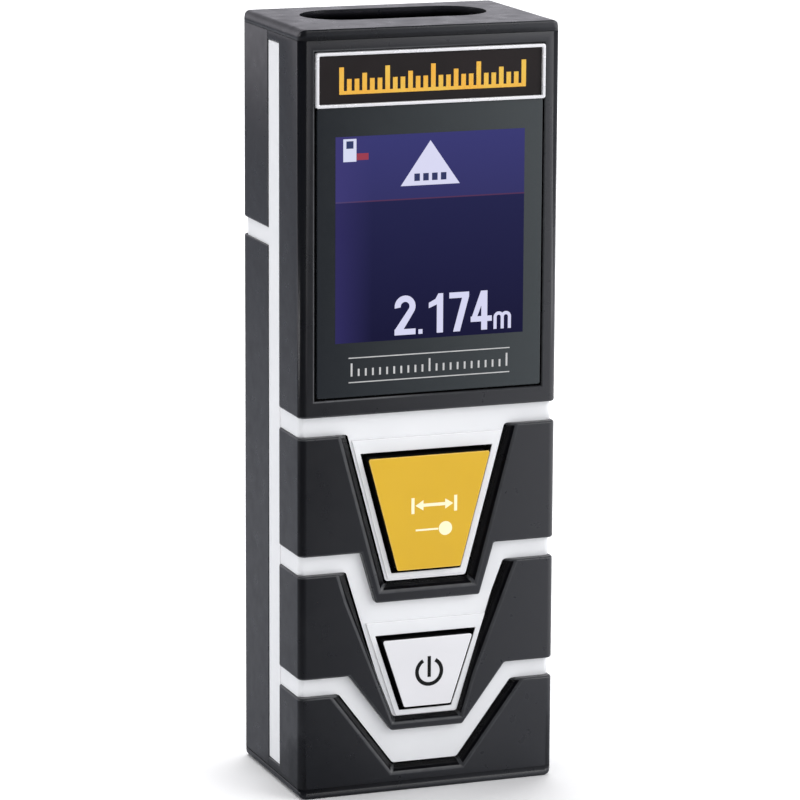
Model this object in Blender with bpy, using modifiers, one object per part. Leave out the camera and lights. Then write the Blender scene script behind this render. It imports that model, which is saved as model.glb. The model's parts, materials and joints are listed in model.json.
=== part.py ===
"""Pocket laser distance meter: a white two-shell housing with black grips, keys, display and optics.

Metres, +Z up. The meter stands on its base with its display facing -Y and its laser leaving
upward. The origin is at the middle of the base. Depths are counted from the grip surface inward.
"""
import math

import bmesh
import bpy
from mathutils import Matrix, Vector

# Overall size
WIDTH = 0.0352
DEPTH = 0.0230                # grip surface to back surface
HEIGHT = 0.1000
KEY_RISE = 0.00035            # the measuring key and the badge frame stand proud of the grips
GAP = 0.0003                  # clearance between pieces that touch
FRONT = KEY_RISE / 2 - DEPTH / 2
REACH = 0.010                 # how far a cutter runs past what it cuts
OVERRUN = 0.0005              # how far two solids reach into each other where they are joined

# Rounding of the outer form
CORNER_RADIUS = 0.0018        # the four corners seen from the front, and the rear vertical edges
FRONT_EDGE_RADIUS = 0.0012    # the front vertical edges
RIM_EDGE_RADIUS = 0.0009      # the edges around the top and the base
ROUND_SEGMENTS = 3

# Housing shells
CORE_HALF = 0.01645           # half width under the grips
BAND_HALF = 0.01735           # half width at the white bands and side stripes
CORE_FRONT = 0.00105          # depth of the white front surface
CORE_BACK = DEPTH - 0.00105
CORE_BOTTOM = 0.0017
CORE_TOP = 0.0983
WALL = 0.0018
CAVITY_HALF = CORE_HALF - WALL
CAVITY_BOTTOM = 0.0032
CAVITY_TOP = 0.0965
PARTING = 0.0124              # depth where the two shells meet
STRIPE_FRONT = 0.0082         # depth where the side stripe begins; it ends at the parting
STRIPE_BOTTOM = 0.0026
STRIPE_TOP = 0.0974
CAP_THICKNESS = 0.0014

# Heights of the white bands: bottom and top of each
BAND_UPPER = (0.0478, 0.0504)
BAND_MIDDLE = (0.0297, 0.03225)
BAND_LOWER = (0.01355, 0.0160)
BAND_REAR = (0.0708, 0.0731)

# Grips
GRIP_THICKNESS = CORE_FRONT - GAP
GRIP_WALL_RUN = 0.00115       # how far the sloped walls around the keys lean outward
# The tongue under each key: half width at the grip's lower edge, and half width and height of its tip
MEASURE_TONGUE = (0.00915, 0.00716, 0.02545)
POWER_TONGUE = (0.01078, 0.00492, 0.0082)
POWER_RIM_BOTTOM = 0.00985

# Key pockets and band points: half width at a height, and half width gained per height
MEASURE_SLOPE = 0.267
MEASURE_HALF = 0.00770
MEASURE_HALF_AT = 0.0420
MEASURE_BOTTOM = 0.0296
MEASURE_TOP = 0.0446
POWER_SLOPE = 0.328
POWER_HALF = 0.00452
POWER_HALF_AT = 0.0150
POWER_BOTTOM = 0.0112
POWER_TOP = 0.0203
LOWER_SLOPE = 0.752
LOWER_HALF = 0.00446
LOWER_HALF_AT = 0.0036
KEY_GAP = 0.00055             # open slit around a key
KEY_RIM = 0.0010              # white rim outside the slit
RIM_TOP_BAND = 0.0018         # the rim is wider above a key
RIM_RISE = 0.0002

# Keys
CAP_DEPTH = 0.0008
CAP_EDGE = 0.0002
PLUNGER_INSET = 0.0002
FLANGE_SPREAD = 0.0008
FLANGE_THICKNESS = 0.0008
PIN_RADIUS = 0.0016
PLUNGER_END = 0.0043
POWER_SINK = 0.0003           # the power key stands this much lower than the measuring key
MEASURE_MIDDLE = 0.0370       # height of the stem and switch behind each key
POWER_MIDDLE = 0.0158
SWITCH_HALF = 0.0030
SWITCH_FRONT = 0.0055
BUTTON_FRONT = 0.0051
BUTTON_RADIUS = 0.0015

# Display and badge
WINDOW_HALF = 0.01555         # opening in the bezel
WINDOW_BOTTOM = 0.0526
WINDOW_TOP = 0.0972
BADGE_BOTTOM = 0.0901
BADGE_RING = 0.00055
BADGE_SINK = 0.0001           # the plate lies this much behind the grip surface
WINDOW_EDGE = 0.00012
LCD_HALF = 0.0136
LCD_BOTTOM = 0.0576
LCD_TOP = 0.0886
LCD_FRONT = 0.00315
LCD_BACK = 0.00475
LCD_HOLE = (0.0586, 0.0882)   # bottom and top of the housing's opening in front of the panel
PANEL_EDGE = 0.0001           # rounding of the panel and the chip
BACKLIGHT_MARGIN = 0.0004
BACKLIGHT_EDGE = 0.0003
CABLE_HALF = 0.0040
CABLE_DEPTH = 0.0040          # the cable leaves the panel at this depth
CABLE_TURN = 0.0012
CABLE_TAIL = 0.0030
CABLE_THICKNESS = 0.0003

# Boards
BOARD_HALF = 0.0142
BOARD_BOTTOM = 0.0090
BOARD_TOP = 0.0906
BOARD_FACE = 0.0070
BOARD_THICKNESS = 0.0010
BOARD_REST_X = 0.0126
BOARD_REST_RADIUS = 0.0014
BOARD_REST_HEIGHTS = (0.0240, 0.0440)
CHIP_CORNER = (-0.0125, 0.0474)   # x and height of its lower left corner
CHIP_SIDE = 0.0070
CHIP_FRONT = 0.0057
BUZZER_AT = (0.0088, 0.0510)
BUZZER_RADIUS = 0.0036
BUZZER_FRONT = 0.0045
BUZZER_PORT_RADIUS = 0.0007
BUZZER_PORT_DEPTH = 0.0007

# Optics
SLOT_LENGTH = 0.0250
SLOT_WIDTH = 0.0110
OPTICS_DEPTH = 0.0139         # depth of both optical axes
LASER_X = -0.0059
RECEIVER_X = 0.0040
CHASSIS_BOTTOM = 0.0615
CHASSIS_SHOULDER = 0.0902
CHASSIS_TOP = 0.0959
CHASSIS_HALF = 0.0130
CHASSIS_NECK_HALF = 0.0098
CHASSIS_REACH = 0.0056        # from the optical axes to the chassis's front and back
RECEIVER_BORE = 0.0050
RECEIVER_FLOOR = 0.0680
LASER_BORE = 0.0032
LASER_FLOOR = 0.0745
LASER_RADIUS = 0.0028
LASER_TOP = 0.0905
OPTICS_WINDOW = (0.0970, 0.0981)  # its lower and upper face
# The receiver's board lies across the foot of the chassis and carries the photodiode
SENSOR_HALF = 0.0057          # half width, centred on the receiver
SENSOR_LEVEL = 0.0663
SENSOR_THICKNESS = 0.0009
SENSOR_REACH = (0.0027, 0.0052)   # in front of and behind the optical axis
SENSOR_CLEARANCE = 0.0003
DIODE_RADIUS = 0.0016
DIODE_HEIGHT = 0.0013
# Lenses: radius, edge height and crown height
COLLIMATOR = (0.0027, 0.0009, 0.0007)
RECEIVER_LENS = (0.0046, 0.0014, 0.0016)

# Batteries: two AAA cells side by side
CELL_RADIUS = 0.0052
CELL_LENGTH = 0.0445
CELL_X = 0.0056
CELL_DEPTH = 0.0150
NUB_RADIUS = 0.0019
NUB_LENGTH = 0.0008
BAY_HALF = 0.0114
BAY_BOTTOM = 0.0094
BAY_TOP = 0.0584
BAY_FLOOR = 0.0094
BAY_WALL = 0.0014
BAY_FLOOR_WALL = 0.0010
BAY_TOP_WALL = 0.0010
CONTACT_THICKNESS = 0.0004
SPRING_HEIGHT = 0.0024
SPRING_TURNS = 2.5
SPRING_WIRE = 0.0005
SPRING_SMALL = 0.0020         # radius of the narrow end
SPRING_LARGE = 0.0032
CONTACT_REACH = 0.0045        # in front of and behind the cells' axes
CONTACT_OVERHANG = 0.0049     # outside the cells' axes
CONTACT_SPLIT = 0.0005        # half the gap between the two upper contacts

# Battery cover
COVER_HALF = 0.0134
COVER_BOTTOM = 0.0086
COVER_TOP = 0.0610
COVER_THICKNESS = 0.0018
COVER_SEAT = DEPTH - COVER_THICKNESS - GAP
COVER_EDGE = 0.0004
TAB_X = 0.0075
TAB_HALF = 0.0017
TAB_FRONT = 0.0213
TAB_BACK = 0.0220
TAB_BOTTOM = 0.0071
TAB_SLOT_HALF = 0.0021
TAB_SLOT_FRONT = 0.0202
TAB_SLOT_BOTTOM = 0.0060
TAB_SLOT_TOP = 0.0098         # high enough for the tabs to swing with the cover
TONGUE_X = 0.0050
TONGUE_SLIT = 0.0006
TONGUE_LENGTH = 0.0080
THUMB_HALF = 0.0036
THUMB_RADIUS = 0.0034
THUMB_BELOW_TOP = 0.0030
THUMB_CENTRE_OUT = 0.0026     # how far its centre line lies outside the back

# Screws through the rear shell into the front shell
SCREW_X = 0.0129
SCREW_HEIGHTS = (0.0052, 0.0940)
SCREW_RADIUS = 0.0010
SCREW_HEAD_RADIUS = 0.0018
SCREW_HEAD_DEPTH = 0.0174     # depth of the face under the head
SCREW_HEAD_HEIGHT = 0.0013
SCREW_TIP = 0.0060
FRONT_POST_RADIUS = 0.0023
REAR_POST_RADIUS = 0.0027
CROSS_ARM = 0.0011            # the driver recess: half length, half width and depth
CROSS_HALF = 0.00025
CROSS_DEPTH = 0.0007

PARTS = None
CUTTERS = None


# ---------------------------------------------------------------- scene and materials

def start_scene():
    """Empty the scene and make one collection for the parts and one for the cutters."""
    global PARTS, CUTTERS
    for item in list(bpy.data.objects):
        bpy.data.objects.remove(item, do_unlink=True)
    PARTS = bpy.data.collections.new("laser_distance_meter")
    CUTTERS = bpy.data.collections.new("cutters")
    bpy.context.scene.collection.children.link(PARTS)
    bpy.context.scene.collection.children.link(CUTTERS)


def make_material(name, color, roughness, metallic=0.0):
    material = bpy.data.materials.new(name)
    material.use_nodes = True
    shader = material.node_tree.nodes["Principled BSDF"]
    shader.inputs["Base Color"].default_value = (*color, 1.0)
    shader.inputs["Roughness"].default_value = roughness
    shader.inputs["Metallic"].default_value = metallic
    material.diffuse_color = (*color, 1.0)
    return material


def make_materials():
    return {
        "white_plastic": make_material("white_plastic", (0.82, 0.82, 0.84), 0.42),
        "black_rubber": make_material("black_rubber", (0.026, 0.027, 0.032), 0.55),
        "yellow_plastic": make_material("yellow_plastic", (0.76, 0.44, 0.03), 0.40),
        "grey_plastic": make_material("grey_plastic", (0.74, 0.74, 0.76), 0.40),
        "dark_window": make_material("dark_window", (0.020, 0.020, 0.026), 0.12),
        "badge_black": make_material("badge_black", (0.022, 0.016, 0.014), 0.30),
        "chrome_trim": make_material("chrome_trim", (0.80, 0.80, 0.82), 0.15, 1.0),
        "lcd_glass": make_material("lcd_glass", (0.020, 0.018, 0.080), 0.15),
        "green_board": make_material("green_board", (0.010, 0.120, 0.045), 0.50),
        "switch_metal": make_material("switch_metal", (0.62, 0.62, 0.62), 0.35, 1.0),
        "chip_black": make_material("chip_black", (0.020, 0.020, 0.020), 0.45),
        "chassis_black": make_material("chassis_black", (0.030, 0.030, 0.032), 0.60),
        "brass": make_material("brass", (0.72, 0.50, 0.20), 0.30, 1.0),
        "lens_glass": make_material("lens_glass", (0.30, 0.24, 0.34), 0.05),
        "cell_wrap": make_material("cell_wrap", (0.10, 0.11, 0.12), 0.35),
        "contact_steel": make_material("contact_steel", (0.66, 0.66, 0.64), 0.30, 1.0),
        "screw_steel": make_material("screw_steel", (0.50, 0.50, 0.50), 0.35, 1.0),
        "cable_orange": make_material("cable_orange", (0.62, 0.25, 0.05), 0.45),
    }


# ---------------------------------------------------------------- building blocks

def deep(depth):
    """The Y of a depth behind the grip surface."""
    return FRONT + depth


def add_object(name, mesh, material=None, collection=None):
    item = bpy.data.objects.new(name, mesh)
    (collection or PARTS).objects.link(item)
    if material is not None:
        mesh.materials.append(material)
    return item


def centred_object(name, mesh, center, material=None, collection=None):
    item = add_object(name, mesh, material, collection)
    item.location = center
    return item


def box(name, low, high, material=None, collection=None):
    """A block between two corners."""
    low = Vector(low)
    high = Vector(high)
    mesh = bpy.data.meshes.new(name)
    bm = bmesh.new()
    bmesh.ops.create_cube(bm, size=1.0, matrix=Matrix.Diagonal((*(high - low), 1.0)))
    bm.to_mesh(mesh)
    bm.free()
    return centred_object(name, mesh, (low + high) / 2, material, collection)


def rod(name, start, end, radius, material=None, collection=None, sides=24):
    """A cylinder from one point to another."""
    start = Vector(start)
    end = Vector(end)
    mesh = bpy.data.meshes.new(name)
    bm = bmesh.new()
    bmesh.ops.create_cone(bm, cap_ends=True, segments=sides, radius1=radius, radius2=radius,
                          depth=(end - start).length)
    bm.to_mesh(mesh)
    bm.free()
    mesh.shade_smooth()
    mesh.set_sharp_from_angle(angle=math.radians(40))
    item = centred_object(name, mesh, (start + end) / 2, material, collection)
    item.rotation_euler = (end - start).to_track_quat("Z", "Y").to_euler()
    return item


AXIS_TURNS = {
    "X": Matrix(((0, 0, 1), (1, 0, 0), (0, 1, 0))),      # the outline's plane is YZ
    "Y": Matrix(((1, 0, 0), (0, 0, -1), (0, 1, 0))),     # the outline's plane is XZ
    "Z": Matrix.Identity(3),                             # the outline's plane is XY
}


def prism(name, outlines, axis, start, end, material=None, collection=None):
    """A flat outline, or an outline with holes, with thickness along an axis."""
    curve = bpy.data.curves.new(name, "CURVE")
    curve.dimensions = "2D"
    curve.fill_mode = "BOTH"
    curve.extrude = abs(end - start) / 2
    for outline in outlines:
        spline = curve.splines.new("POLY")
        spline.points.add(len(outline) - 1)
        spline.use_cyclic_u = True
        for point, (across, up) in zip(spline.points, outline):
            point.co = (across, up, 0.0, 1.0)
    guide = bpy.data.objects.new(name, curve)
    CUTTERS.objects.link(guide)
    evaluated = guide.evaluated_get(bpy.context.evaluated_depsgraph_get())
    mesh = bpy.data.meshes.new_from_object(evaluated)
    bpy.data.objects.remove(guide)
    bpy.data.curves.remove(curve)
    bm = bmesh.new()
    bm.from_mesh(mesh)
    bmesh.ops.remove_doubles(bm, verts=bm.verts, dist=1e-6)
    bmesh.ops.dissolve_limit(bm, angle_limit=math.radians(1), verts=bm.verts, edges=bm.edges)
    bmesh.ops.recalc_face_normals(bm, faces=bm.faces)
    bm.to_mesh(mesh)
    bm.free()
    mesh.name = name
    turn = AXIS_TURNS[axis]
    mesh.transform(turn.to_4x4())
    direction = {"X": Vector((1, 0, 0)), "Y": Vector((0, 1, 0)), "Z": Vector((0, 0, 1))}[axis]
    return centred_object(name, mesh, direction * (start + end) / 2, material, collection)


def rectangle(left, right, bottom, top):
    return [(left, bottom), (right, bottom), (right, top), (left, top)]


def stadium(center_x, center_y, length, width, steps=12):
    """An outline with straight sides and round ends, its length along the first axis."""
    radius = width / 2
    half = length / 2 - radius
    points = []
    for side, first_angle in ((1, -90), (-1, 90)):
        for step in range(steps + 1):
            angle = math.radians(first_angle + 180 * step / steps)
            points.append((center_x + side * half + radius * math.cos(angle),
                           center_y + radius * math.sin(angle)))
    return points


def as_cutter(item):
    """Turn an object into a helper that no build or render shows."""
    for collection in list(item.users_collection):
        collection.objects.unlink(item)
    CUTTERS.objects.link(item)
    item.hide_render = True
    item.display_type = "WIRE"
    return item


def combine(target, helper, operation):
    as_cutter(helper)
    modifier = target.modifiers.new(operation.lower() + "_" + helper.name, "BOOLEAN")
    modifier.operation = operation
    modifier.object = helper
    modifier.solver = "EXACT"


def cut(target, *helpers):
    for helper in helpers:
        combine(target, helper, "DIFFERENCE")


def join(target, *helpers):
    for helper in helpers:
        combine(target, helper, "UNION")


def keep(target, helper):
    combine(target, helper, "INTERSECT")


def round_edges(item, width, segments=2):
    modifier = item.modifiers.new("rounded_edges", "BEVEL")
    modifier.width = width
    modifier.segments = segments
    modifier.limit_method = "ANGLE"
    modifier.angle_limit = math.radians(40)


def round_weighted(item, radii, segments):
    """Round a block's edges: radii gives the radius for an edge's direction and middle point."""
    mesh = item.data
    bm = bmesh.new()
    bm.from_mesh(mesh)
    weights = bm.edges.layers.float.new("bevel_weight_edge")
    wanted = []
    for edge in bm.edges:
        first, second = edge.verts
        direction = (second.co - first.co).normalized()
        middle = (second.co + first.co) / 2
        wanted.append(radii(direction, middle))
    largest = max(wanted)
    for edge, radius in zip(bm.edges, wanted):
        edge[weights] = radius / largest
    bm.to_mesh(mesh)
    bm.free()
    modifier = item.modifiers.new("rounded_edges", "BEVEL")
    modifier.width = largest
    modifier.segments = segments
    modifier.limit_method = "WEIGHT"


def envelope_radii(direction, middle):
    """The rounding of the outer form, edge by edge."""
    if abs(direction.y) > 0.5:
        return CORNER_RADIUS
    if abs(direction.x) > 0.5:
        return RIM_EDGE_RADIUS
    return FRONT_EDGE_RADIUS if middle.y < 0 else CORNER_RADIUS


def upright_radii(radius, side):
    """Only the vertical edges at the front (side -1) or at the back (side 1) are rounded."""
    def radii(direction, middle):
        return radius if abs(direction.z) > 0.5 and middle.y * side > 0 else 0.0
    return radii


def envelope(name, material):
    """The whole outer form, which each grip and cap is a slice of."""
    item = box(name, (-WIDTH / 2, deep(0), 0), (WIDTH / 2, deep(DEPTH), HEIGHT), material)
    round_weighted(item, envelope_radii, ROUND_SEGMENTS)
    return item


# ---------------------------------------------------------------- key shapes

def slanted_outline(half, half_at, slope, bottom, top, spread=0.0):
    """A trapezoid narrowing downward, grown by spread square to its sides."""
    lean = spread * math.hypot(1.0, slope)
    low = bottom - spread
    high = top + spread
    low_half = half + slope * (low - half_at) + lean
    high_half = half + slope * (high - half_at) + lean
    return [(-low_half, low), (low_half, low), (high_half, high), (-high_half, high)]


def measure_outline(spread=0.0):
    return slanted_outline(MEASURE_HALF, MEASURE_HALF_AT, MEASURE_SLOPE, MEASURE_BOTTOM,
                           MEASURE_TOP, spread)


def power_outline(spread=0.0):
    return slanted_outline(POWER_HALF, POWER_HALF_AT, POWER_SLOPE, POWER_BOTTOM, POWER_TOP, spread)


def rim_outline(half, half_at, slope, bottom, top):
    """The white rim around a key, wider above it."""
    spread = KEY_GAP + KEY_RIM
    extra = RIM_TOP_BAND - KEY_RIM
    outline = slanted_outline(half, half_at, slope, bottom, top, spread)
    (left, low), (right, _), (far_right, high), (far_left, _) = outline
    return [(left, low), (right, low), (far_right + slope * extra, high + extra),
            (far_left - slope * extra, high + extra)]


def pocket_block(name, half, half_at, slope, bottom, top, run):
    """A block whose sides lean outward toward the front, to cut a grip open around a key."""
    def section(depth):
        spread = run * (1 - depth / CORE_FRONT)
        return slanted_outline(half, half_at, slope, bottom, top, spread)
    near = -OVERRUN
    far = CORE_FRONT + OVERRUN
    block = box(name, (-1, near, -1), (1, far, 1))
    for vertex in block.data.vertices:
        is_near = vertex.co.y < 0
        outline = section(near if is_near else far)
        corner = {(False, False): 0, (True, False): 1, (True, True): 2,
                  (False, True): 3}[(vertex.co.x > 0, vertex.co.z > 0)]
        across, height = outline[corner]
        vertex.co = (across, deep(near if is_near else far), height)
    block.location = (0, 0, 0)
    return block


# ---------------------------------------------------------------- housing

def hollow_core(name):
    """What lies inside the grips, as a cutter for them."""
    core = box(name, (-CORE_HALF - GAP, deep(GRIP_THICKNESS), -REACH),
               (CORE_HALF + GAP, deep(DEPTH - GRIP_THICKNESS), HEIGHT + REACH))
    return core


def band_rib(name, band, front, back):
    """A white band where it stands out at the sides, between two grips."""
    bottom, top = band
    rib = box(name, (-BAND_HALF, deep(front), bottom + GAP), (BAND_HALF, deep(back), top - GAP))
    return rib


def optics_aperture(name, grow=0.0):
    outline = stadium(0, deep(OPTICS_DEPTH), SLOT_LENGTH + 2 * grow, SLOT_WIDTH + 2 * grow)
    return prism(name, [outline], "Z", CHASSIS_TOP, HEIGHT + REACH)


def front_housing(materials):
    shell = box("front_housing", (-CORE_HALF, deep(CORE_FRONT), CORE_BOTTOM),
                (CORE_HALF, deep(PARTING), CORE_TOP), materials["white_plastic"])
    for name, band in (("upper", BAND_UPPER), ("middle", BAND_MIDDLE), ("lower", BAND_LOWER)):
        rib = band_rib("front_rib_" + name, band, CORE_FRONT, STRIPE_FRONT + GAP * 2)
        round_weighted(rib, upright_radii(FRONT_EDGE_RADIUS / 2, -1), ROUND_SEGMENTS)
        join(shell, rib)
    join(shell, box("side_stripes", (-BAND_HALF, deep(STRIPE_FRONT + GAP), STRIPE_BOTTOM + GAP),
                    (BAND_HALF, deep(PARTING), STRIPE_TOP - GAP)))
    measure = (MEASURE_HALF, MEASURE_HALF_AT, MEASURE_SLOPE, MEASURE_BOTTOM, MEASURE_TOP)
    power = (POWER_HALF, POWER_HALF_AT, POWER_SLOPE, POWER_BOTTOM, POWER_TOP)
    for name, sizes in (("measure", measure), ("power", power)):
        join(shell, prism(name + "_rim", [rim_outline(*sizes)], "Y",
                          deep(CORE_FRONT - RIM_RISE), deep(CORE_FRONT + WALL / 2)))
    cut(shell, box("front_cavity", (-CAVITY_HALF, deep(CORE_FRONT + WALL), CAVITY_BOTTOM),
                   (CAVITY_HALF, deep(PARTING + REACH), CAVITY_TOP)))
    for side in (-1, 1):
        for level, height in enumerate(SCREW_HEIGHTS):
            label = f"front_post_{level}_{side}"
            post_at = side * SCREW_X
            join(shell, rod(label, (post_at, deep(CORE_FRONT + WALL / 2), height),
                            (post_at, deep(PARTING), height), FRONT_POST_RADIUS))
            cut(shell, rod(label + "_bore", (post_at, deep(SCREW_TIP - GAP), height),
                           (post_at, deep(PARTING + REACH), height), SCREW_RADIUS + GAP, sides=16))
        for height in BOARD_REST_HEIGHTS:
            join(shell, rod(f"board_rest_{side}_{height}",
                            (side * BOARD_REST_X, deep(CORE_FRONT + WALL / 2), height),
                            (side * BOARD_REST_X, deep(BOARD_FACE - GAP), height),
                            BOARD_REST_RADIUS, sides=16))
    behind_wall = deep(CORE_FRONT + WALL + OVERRUN)
    for name, outline in (("measure", measure_outline), ("power", power_outline)):
        cut(shell, prism(name + "_hole", [outline(KEY_GAP)], "Y", deep(-REACH), behind_wall))
    lcd_low, lcd_high = LCD_HOLE
    cut(shell, box("display_hole", (-LCD_HALF, deep(-REACH), lcd_low),
                   (LCD_HALF, behind_wall, lcd_high)))
    cut(shell, optics_aperture("front_optics_hole"))
    return shell


def rear_housing(materials):
    shell = box("rear_housing", (-CORE_HALF, deep(PARTING + GAP), CORE_BOTTOM),
                (CORE_HALF, deep(CORE_BACK), CORE_TOP), materials["white_plastic"])
    rib = band_rib("rear_rib", BAND_REAR, PARTING + GAP, CORE_BACK)
    round_weighted(rib, upright_radii(FRONT_EDGE_RADIUS / 2, 1), ROUND_SEGMENTS)
    join(shell, rib)
    inner_back = CORE_BACK - WALL
    tray_half = BAY_HALF + BAY_WALL
    cut(shell, box("optics_room", (-CAVITY_HALF, deep(0), CHASSIS_BOTTOM - OVERRUN),
                   (CAVITY_HALF, deep(inner_back), CAVITY_TOP)))
    cut(shell, box("screw_room", (-CAVITY_HALF, deep(0), CAVITY_BOTTOM),
                   (CAVITY_HALF, deep(inner_back), BAY_BOTTOM - BAY_WALL)))
    for side in (-1, 1):
        inner, outer = sorted((side * tray_half, side * CAVITY_HALF))
        cut(shell, box(f"side_pocket_{side}", (inner, deep(0), BAY_BOTTOM),
                       (outer, deep(inner_back), BAY_TOP)))
    join(shell, box("battery_tray",
                    (-tray_half, deep(BAY_FLOOR - BAY_FLOOR_WALL), BAY_BOTTOM - BAY_WALL),
                    (tray_half, deep(PARTING + GAP + OVERRUN), BAY_TOP + BAY_TOP_WALL)))
    bores = []
    for side in (-1, 1):
        for level, height in enumerate(SCREW_HEIGHTS):
            label = f"rear_post_{level}_{side}"
            post_at = side * SCREW_X
            join(shell, rod(label, (post_at, deep(PARTING + GAP), height),
                            (post_at, deep(CORE_BACK - WALL / 2), height), REAR_POST_RADIUS))
            bores.append(rod(label + "_bore", (post_at, deep(0), height),
                             (post_at, deep(DEPTH), height), SCREW_RADIUS + GAP, sides=16))
            bores.append(rod(label + "_head_bore",
                             (post_at, deep(SCREW_HEAD_DEPTH - GAP), height),
                             (post_at, deep(DEPTH + REACH), height), SCREW_HEAD_RADIUS + GAP,
                             sides=20))
    cut(shell, *bores)
    cut(shell, box("battery_bay", (-BAY_HALF, deep(BAY_FLOOR), BAY_BOTTOM),
                   (BAY_HALF, deep(DEPTH), BAY_TOP)))
    cut(shell, box("cover_seat", (-COVER_HALF - GAP, deep(COVER_SEAT), COVER_BOTTOM - GAP),
                   (COVER_HALF + GAP, deep(DEPTH), COVER_TOP + GAP)))
    for side in (-1, 1):
        middle = side * TAB_X
        cut(shell, box(f"tab_slot_{side}",
                       (middle - TAB_SLOT_HALF, deep(TAB_SLOT_FRONT), TAB_SLOT_BOTTOM),
                       (middle + TAB_SLOT_HALF, deep(DEPTH), TAB_SLOT_TOP)))
    cut(shell, optics_aperture("rear_optics_hole"))
    return shell


# ---------------------------------------------------------------- grips and caps

def side_region(name, outline):
    """A prism across the whole width, from points given as (depth, height)."""
    return prism(name, [[(deep(depth), height) for depth, height in outline]], "X",
                 -WIDTH, WIDTH)


def front_region(name, outline):
    """A prism that takes in the front half of the meter, from points given as (x, height)."""
    return prism(name, [outline], "Y", deep(-REACH), deep(STRIPE_FRONT))


def mirrored(points):
    """Close an outline from the points of its right half, top to bottom."""
    return points + [(-across, height) for across, height in reversed(points)]


def display_bezel(materials):
    bezel = envelope("display_bezel", materials["black_rubber"])
    top = HEIGHT - CAP_THICKNESS - GAP
    keep(bezel, side_region("bezel_region", [
        (-REACH, BAND_UPPER[1]), (STRIPE_FRONT, BAND_UPPER[1]), (STRIPE_FRONT, STRIPE_TOP),
        (PARTING, STRIPE_TOP), (PARTING, top), (-REACH, top)]))
    cut(bezel, hollow_core("bezel_core"))
    cut(bezel, box("window_hole", (-WINDOW_HALF, deep(-REACH), WINDOW_BOTTOM),
                   (WINDOW_HALF, deep(CORE_FRONT), WINDOW_TOP)))
    return bezel


def measure_grip(materials):
    grip = envelope("measure_grip", materials["black_rubber"])
    bottom = BAND_MIDDLE[1]
    shoulder_half, tip_half, tip = MEASURE_TONGUE
    keep(grip, front_region("measure_region", mirrored([
        (WIDTH, BAND_UPPER[0]), (WIDTH, bottom), (shoulder_half, bottom), (tip_half, tip)])))
    cut(grip, hollow_core("measure_grip_core"))
    rim_bottom = MEASURE_BOTTOM - KEY_GAP - KEY_RIM
    spread = (KEY_GAP + KEY_RIM) * math.hypot(1.0, MEASURE_SLOPE)
    cut(grip, pocket_block("measure_pocket", MEASURE_HALF + spread, MEASURE_HALF_AT,
                           MEASURE_SLOPE, rim_bottom, BAND_UPPER[0] + OVERRUN, GRIP_WALL_RUN))
    return grip


def power_grip(materials):
    grip = envelope("power_grip", materials["black_rubber"])
    bottom = BAND_LOWER[1]
    shoulder_half, tip_half, tip = POWER_TONGUE
    keep(grip, front_region("power_region", mirrored([
        (WIDTH, BAND_MIDDLE[0]), (WIDTH, bottom), (shoulder_half, bottom), (tip_half, tip)])))
    cut(grip, hollow_core("power_grip_core"))
    spread = (KEY_GAP + KEY_RIM) * math.hypot(1.0, POWER_SLOPE)
    cut(grip, pocket_block("power_pocket", POWER_HALF + spread, POWER_HALF_AT, POWER_SLOPE,
                           POWER_RIM_BOTTOM, BAND_MIDDLE[0] + OVERRUN, GRIP_WALL_RUN))
    return grip


def lower_grip(materials):
    grip = envelope("lower_grip", materials["black_rubber"])
    bottom = CAP_THICKNESS + GAP
    keep(grip, side_region("lower_region", [
        (-REACH, bottom), (PARTING, bottom), (PARTING, STRIPE_BOTTOM),
        (STRIPE_FRONT, STRIPE_BOTTOM), (STRIPE_FRONT, BAND_LOWER[0]), (-REACH, BAND_LOWER[0])]))
    cut(grip, hollow_core("lower_grip_core"))
    cut(grip, pocket_block("lower_pocket", LOWER_HALF, LOWER_HALF_AT, LOWER_SLOPE, LOWER_HALF_AT,
                           BAND_LOWER[0] + OVERRUN, GRIP_WALL_RUN))
    return grip


def screw_access(name, height, side):
    return rod(name, (side * SCREW_X, deep(CORE_BACK - GAP), height),
               (side * SCREW_X, deep(DEPTH + REACH), height), SCREW_HEAD_RADIUS + 2 * GAP)


def rear_grips(materials):
    start = PARTING + GAP
    end = DEPTH + REACH
    top = HEIGHT - CAP_THICKNESS - GAP
    bottom = CAP_THICKNESS + GAP
    upper = envelope("rear_grip_upper", materials["black_rubber"])
    keep(upper, side_region("rear_upper_region", rectangle(start, end, BAND_REAR[1], top)))
    cut(upper, hollow_core("rear_upper_core"))
    lower = envelope("rear_grip_lower", materials["black_rubber"])
    keep(lower, side_region("rear_lower_region", rectangle(start, end, bottom, BAND_REAR[0])))
    cut(lower, hollow_core("rear_lower_core"))
    cut(lower, box("cover_hole", (-COVER_HALF - GAP, deep(CORE_BACK - OVERRUN), COVER_BOTTOM - GAP),
                   (COVER_HALF + GAP, deep(DEPTH + REACH), COVER_TOP + GAP)))
    for side in (-1, 1):
        cut(lower, screw_access(f"lower_access_{side}", SCREW_HEIGHTS[0], side))
        cut(upper, screw_access(f"upper_access_{side}", SCREW_HEIGHTS[1], side))


def top_cap(materials):
    cap = envelope("top_cap", materials["black_rubber"])
    keep(cap, box("top_slab", (-WIDTH, deep(-REACH), HEIGHT - CAP_THICKNESS),
                  (WIDTH, deep(DEPTH + REACH), HEIGHT + REACH)))
    cut(cap, optics_aperture("top_slot"))
    return cap


def base_cap(materials):
    cap = envelope("base_cap", materials["black_rubber"])
    keep(cap, box("base_slab", (-WIDTH, deep(-REACH), -REACH),
                  (WIDTH, deep(DEPTH + REACH), CAP_THICKNESS)))
    return cap


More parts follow.
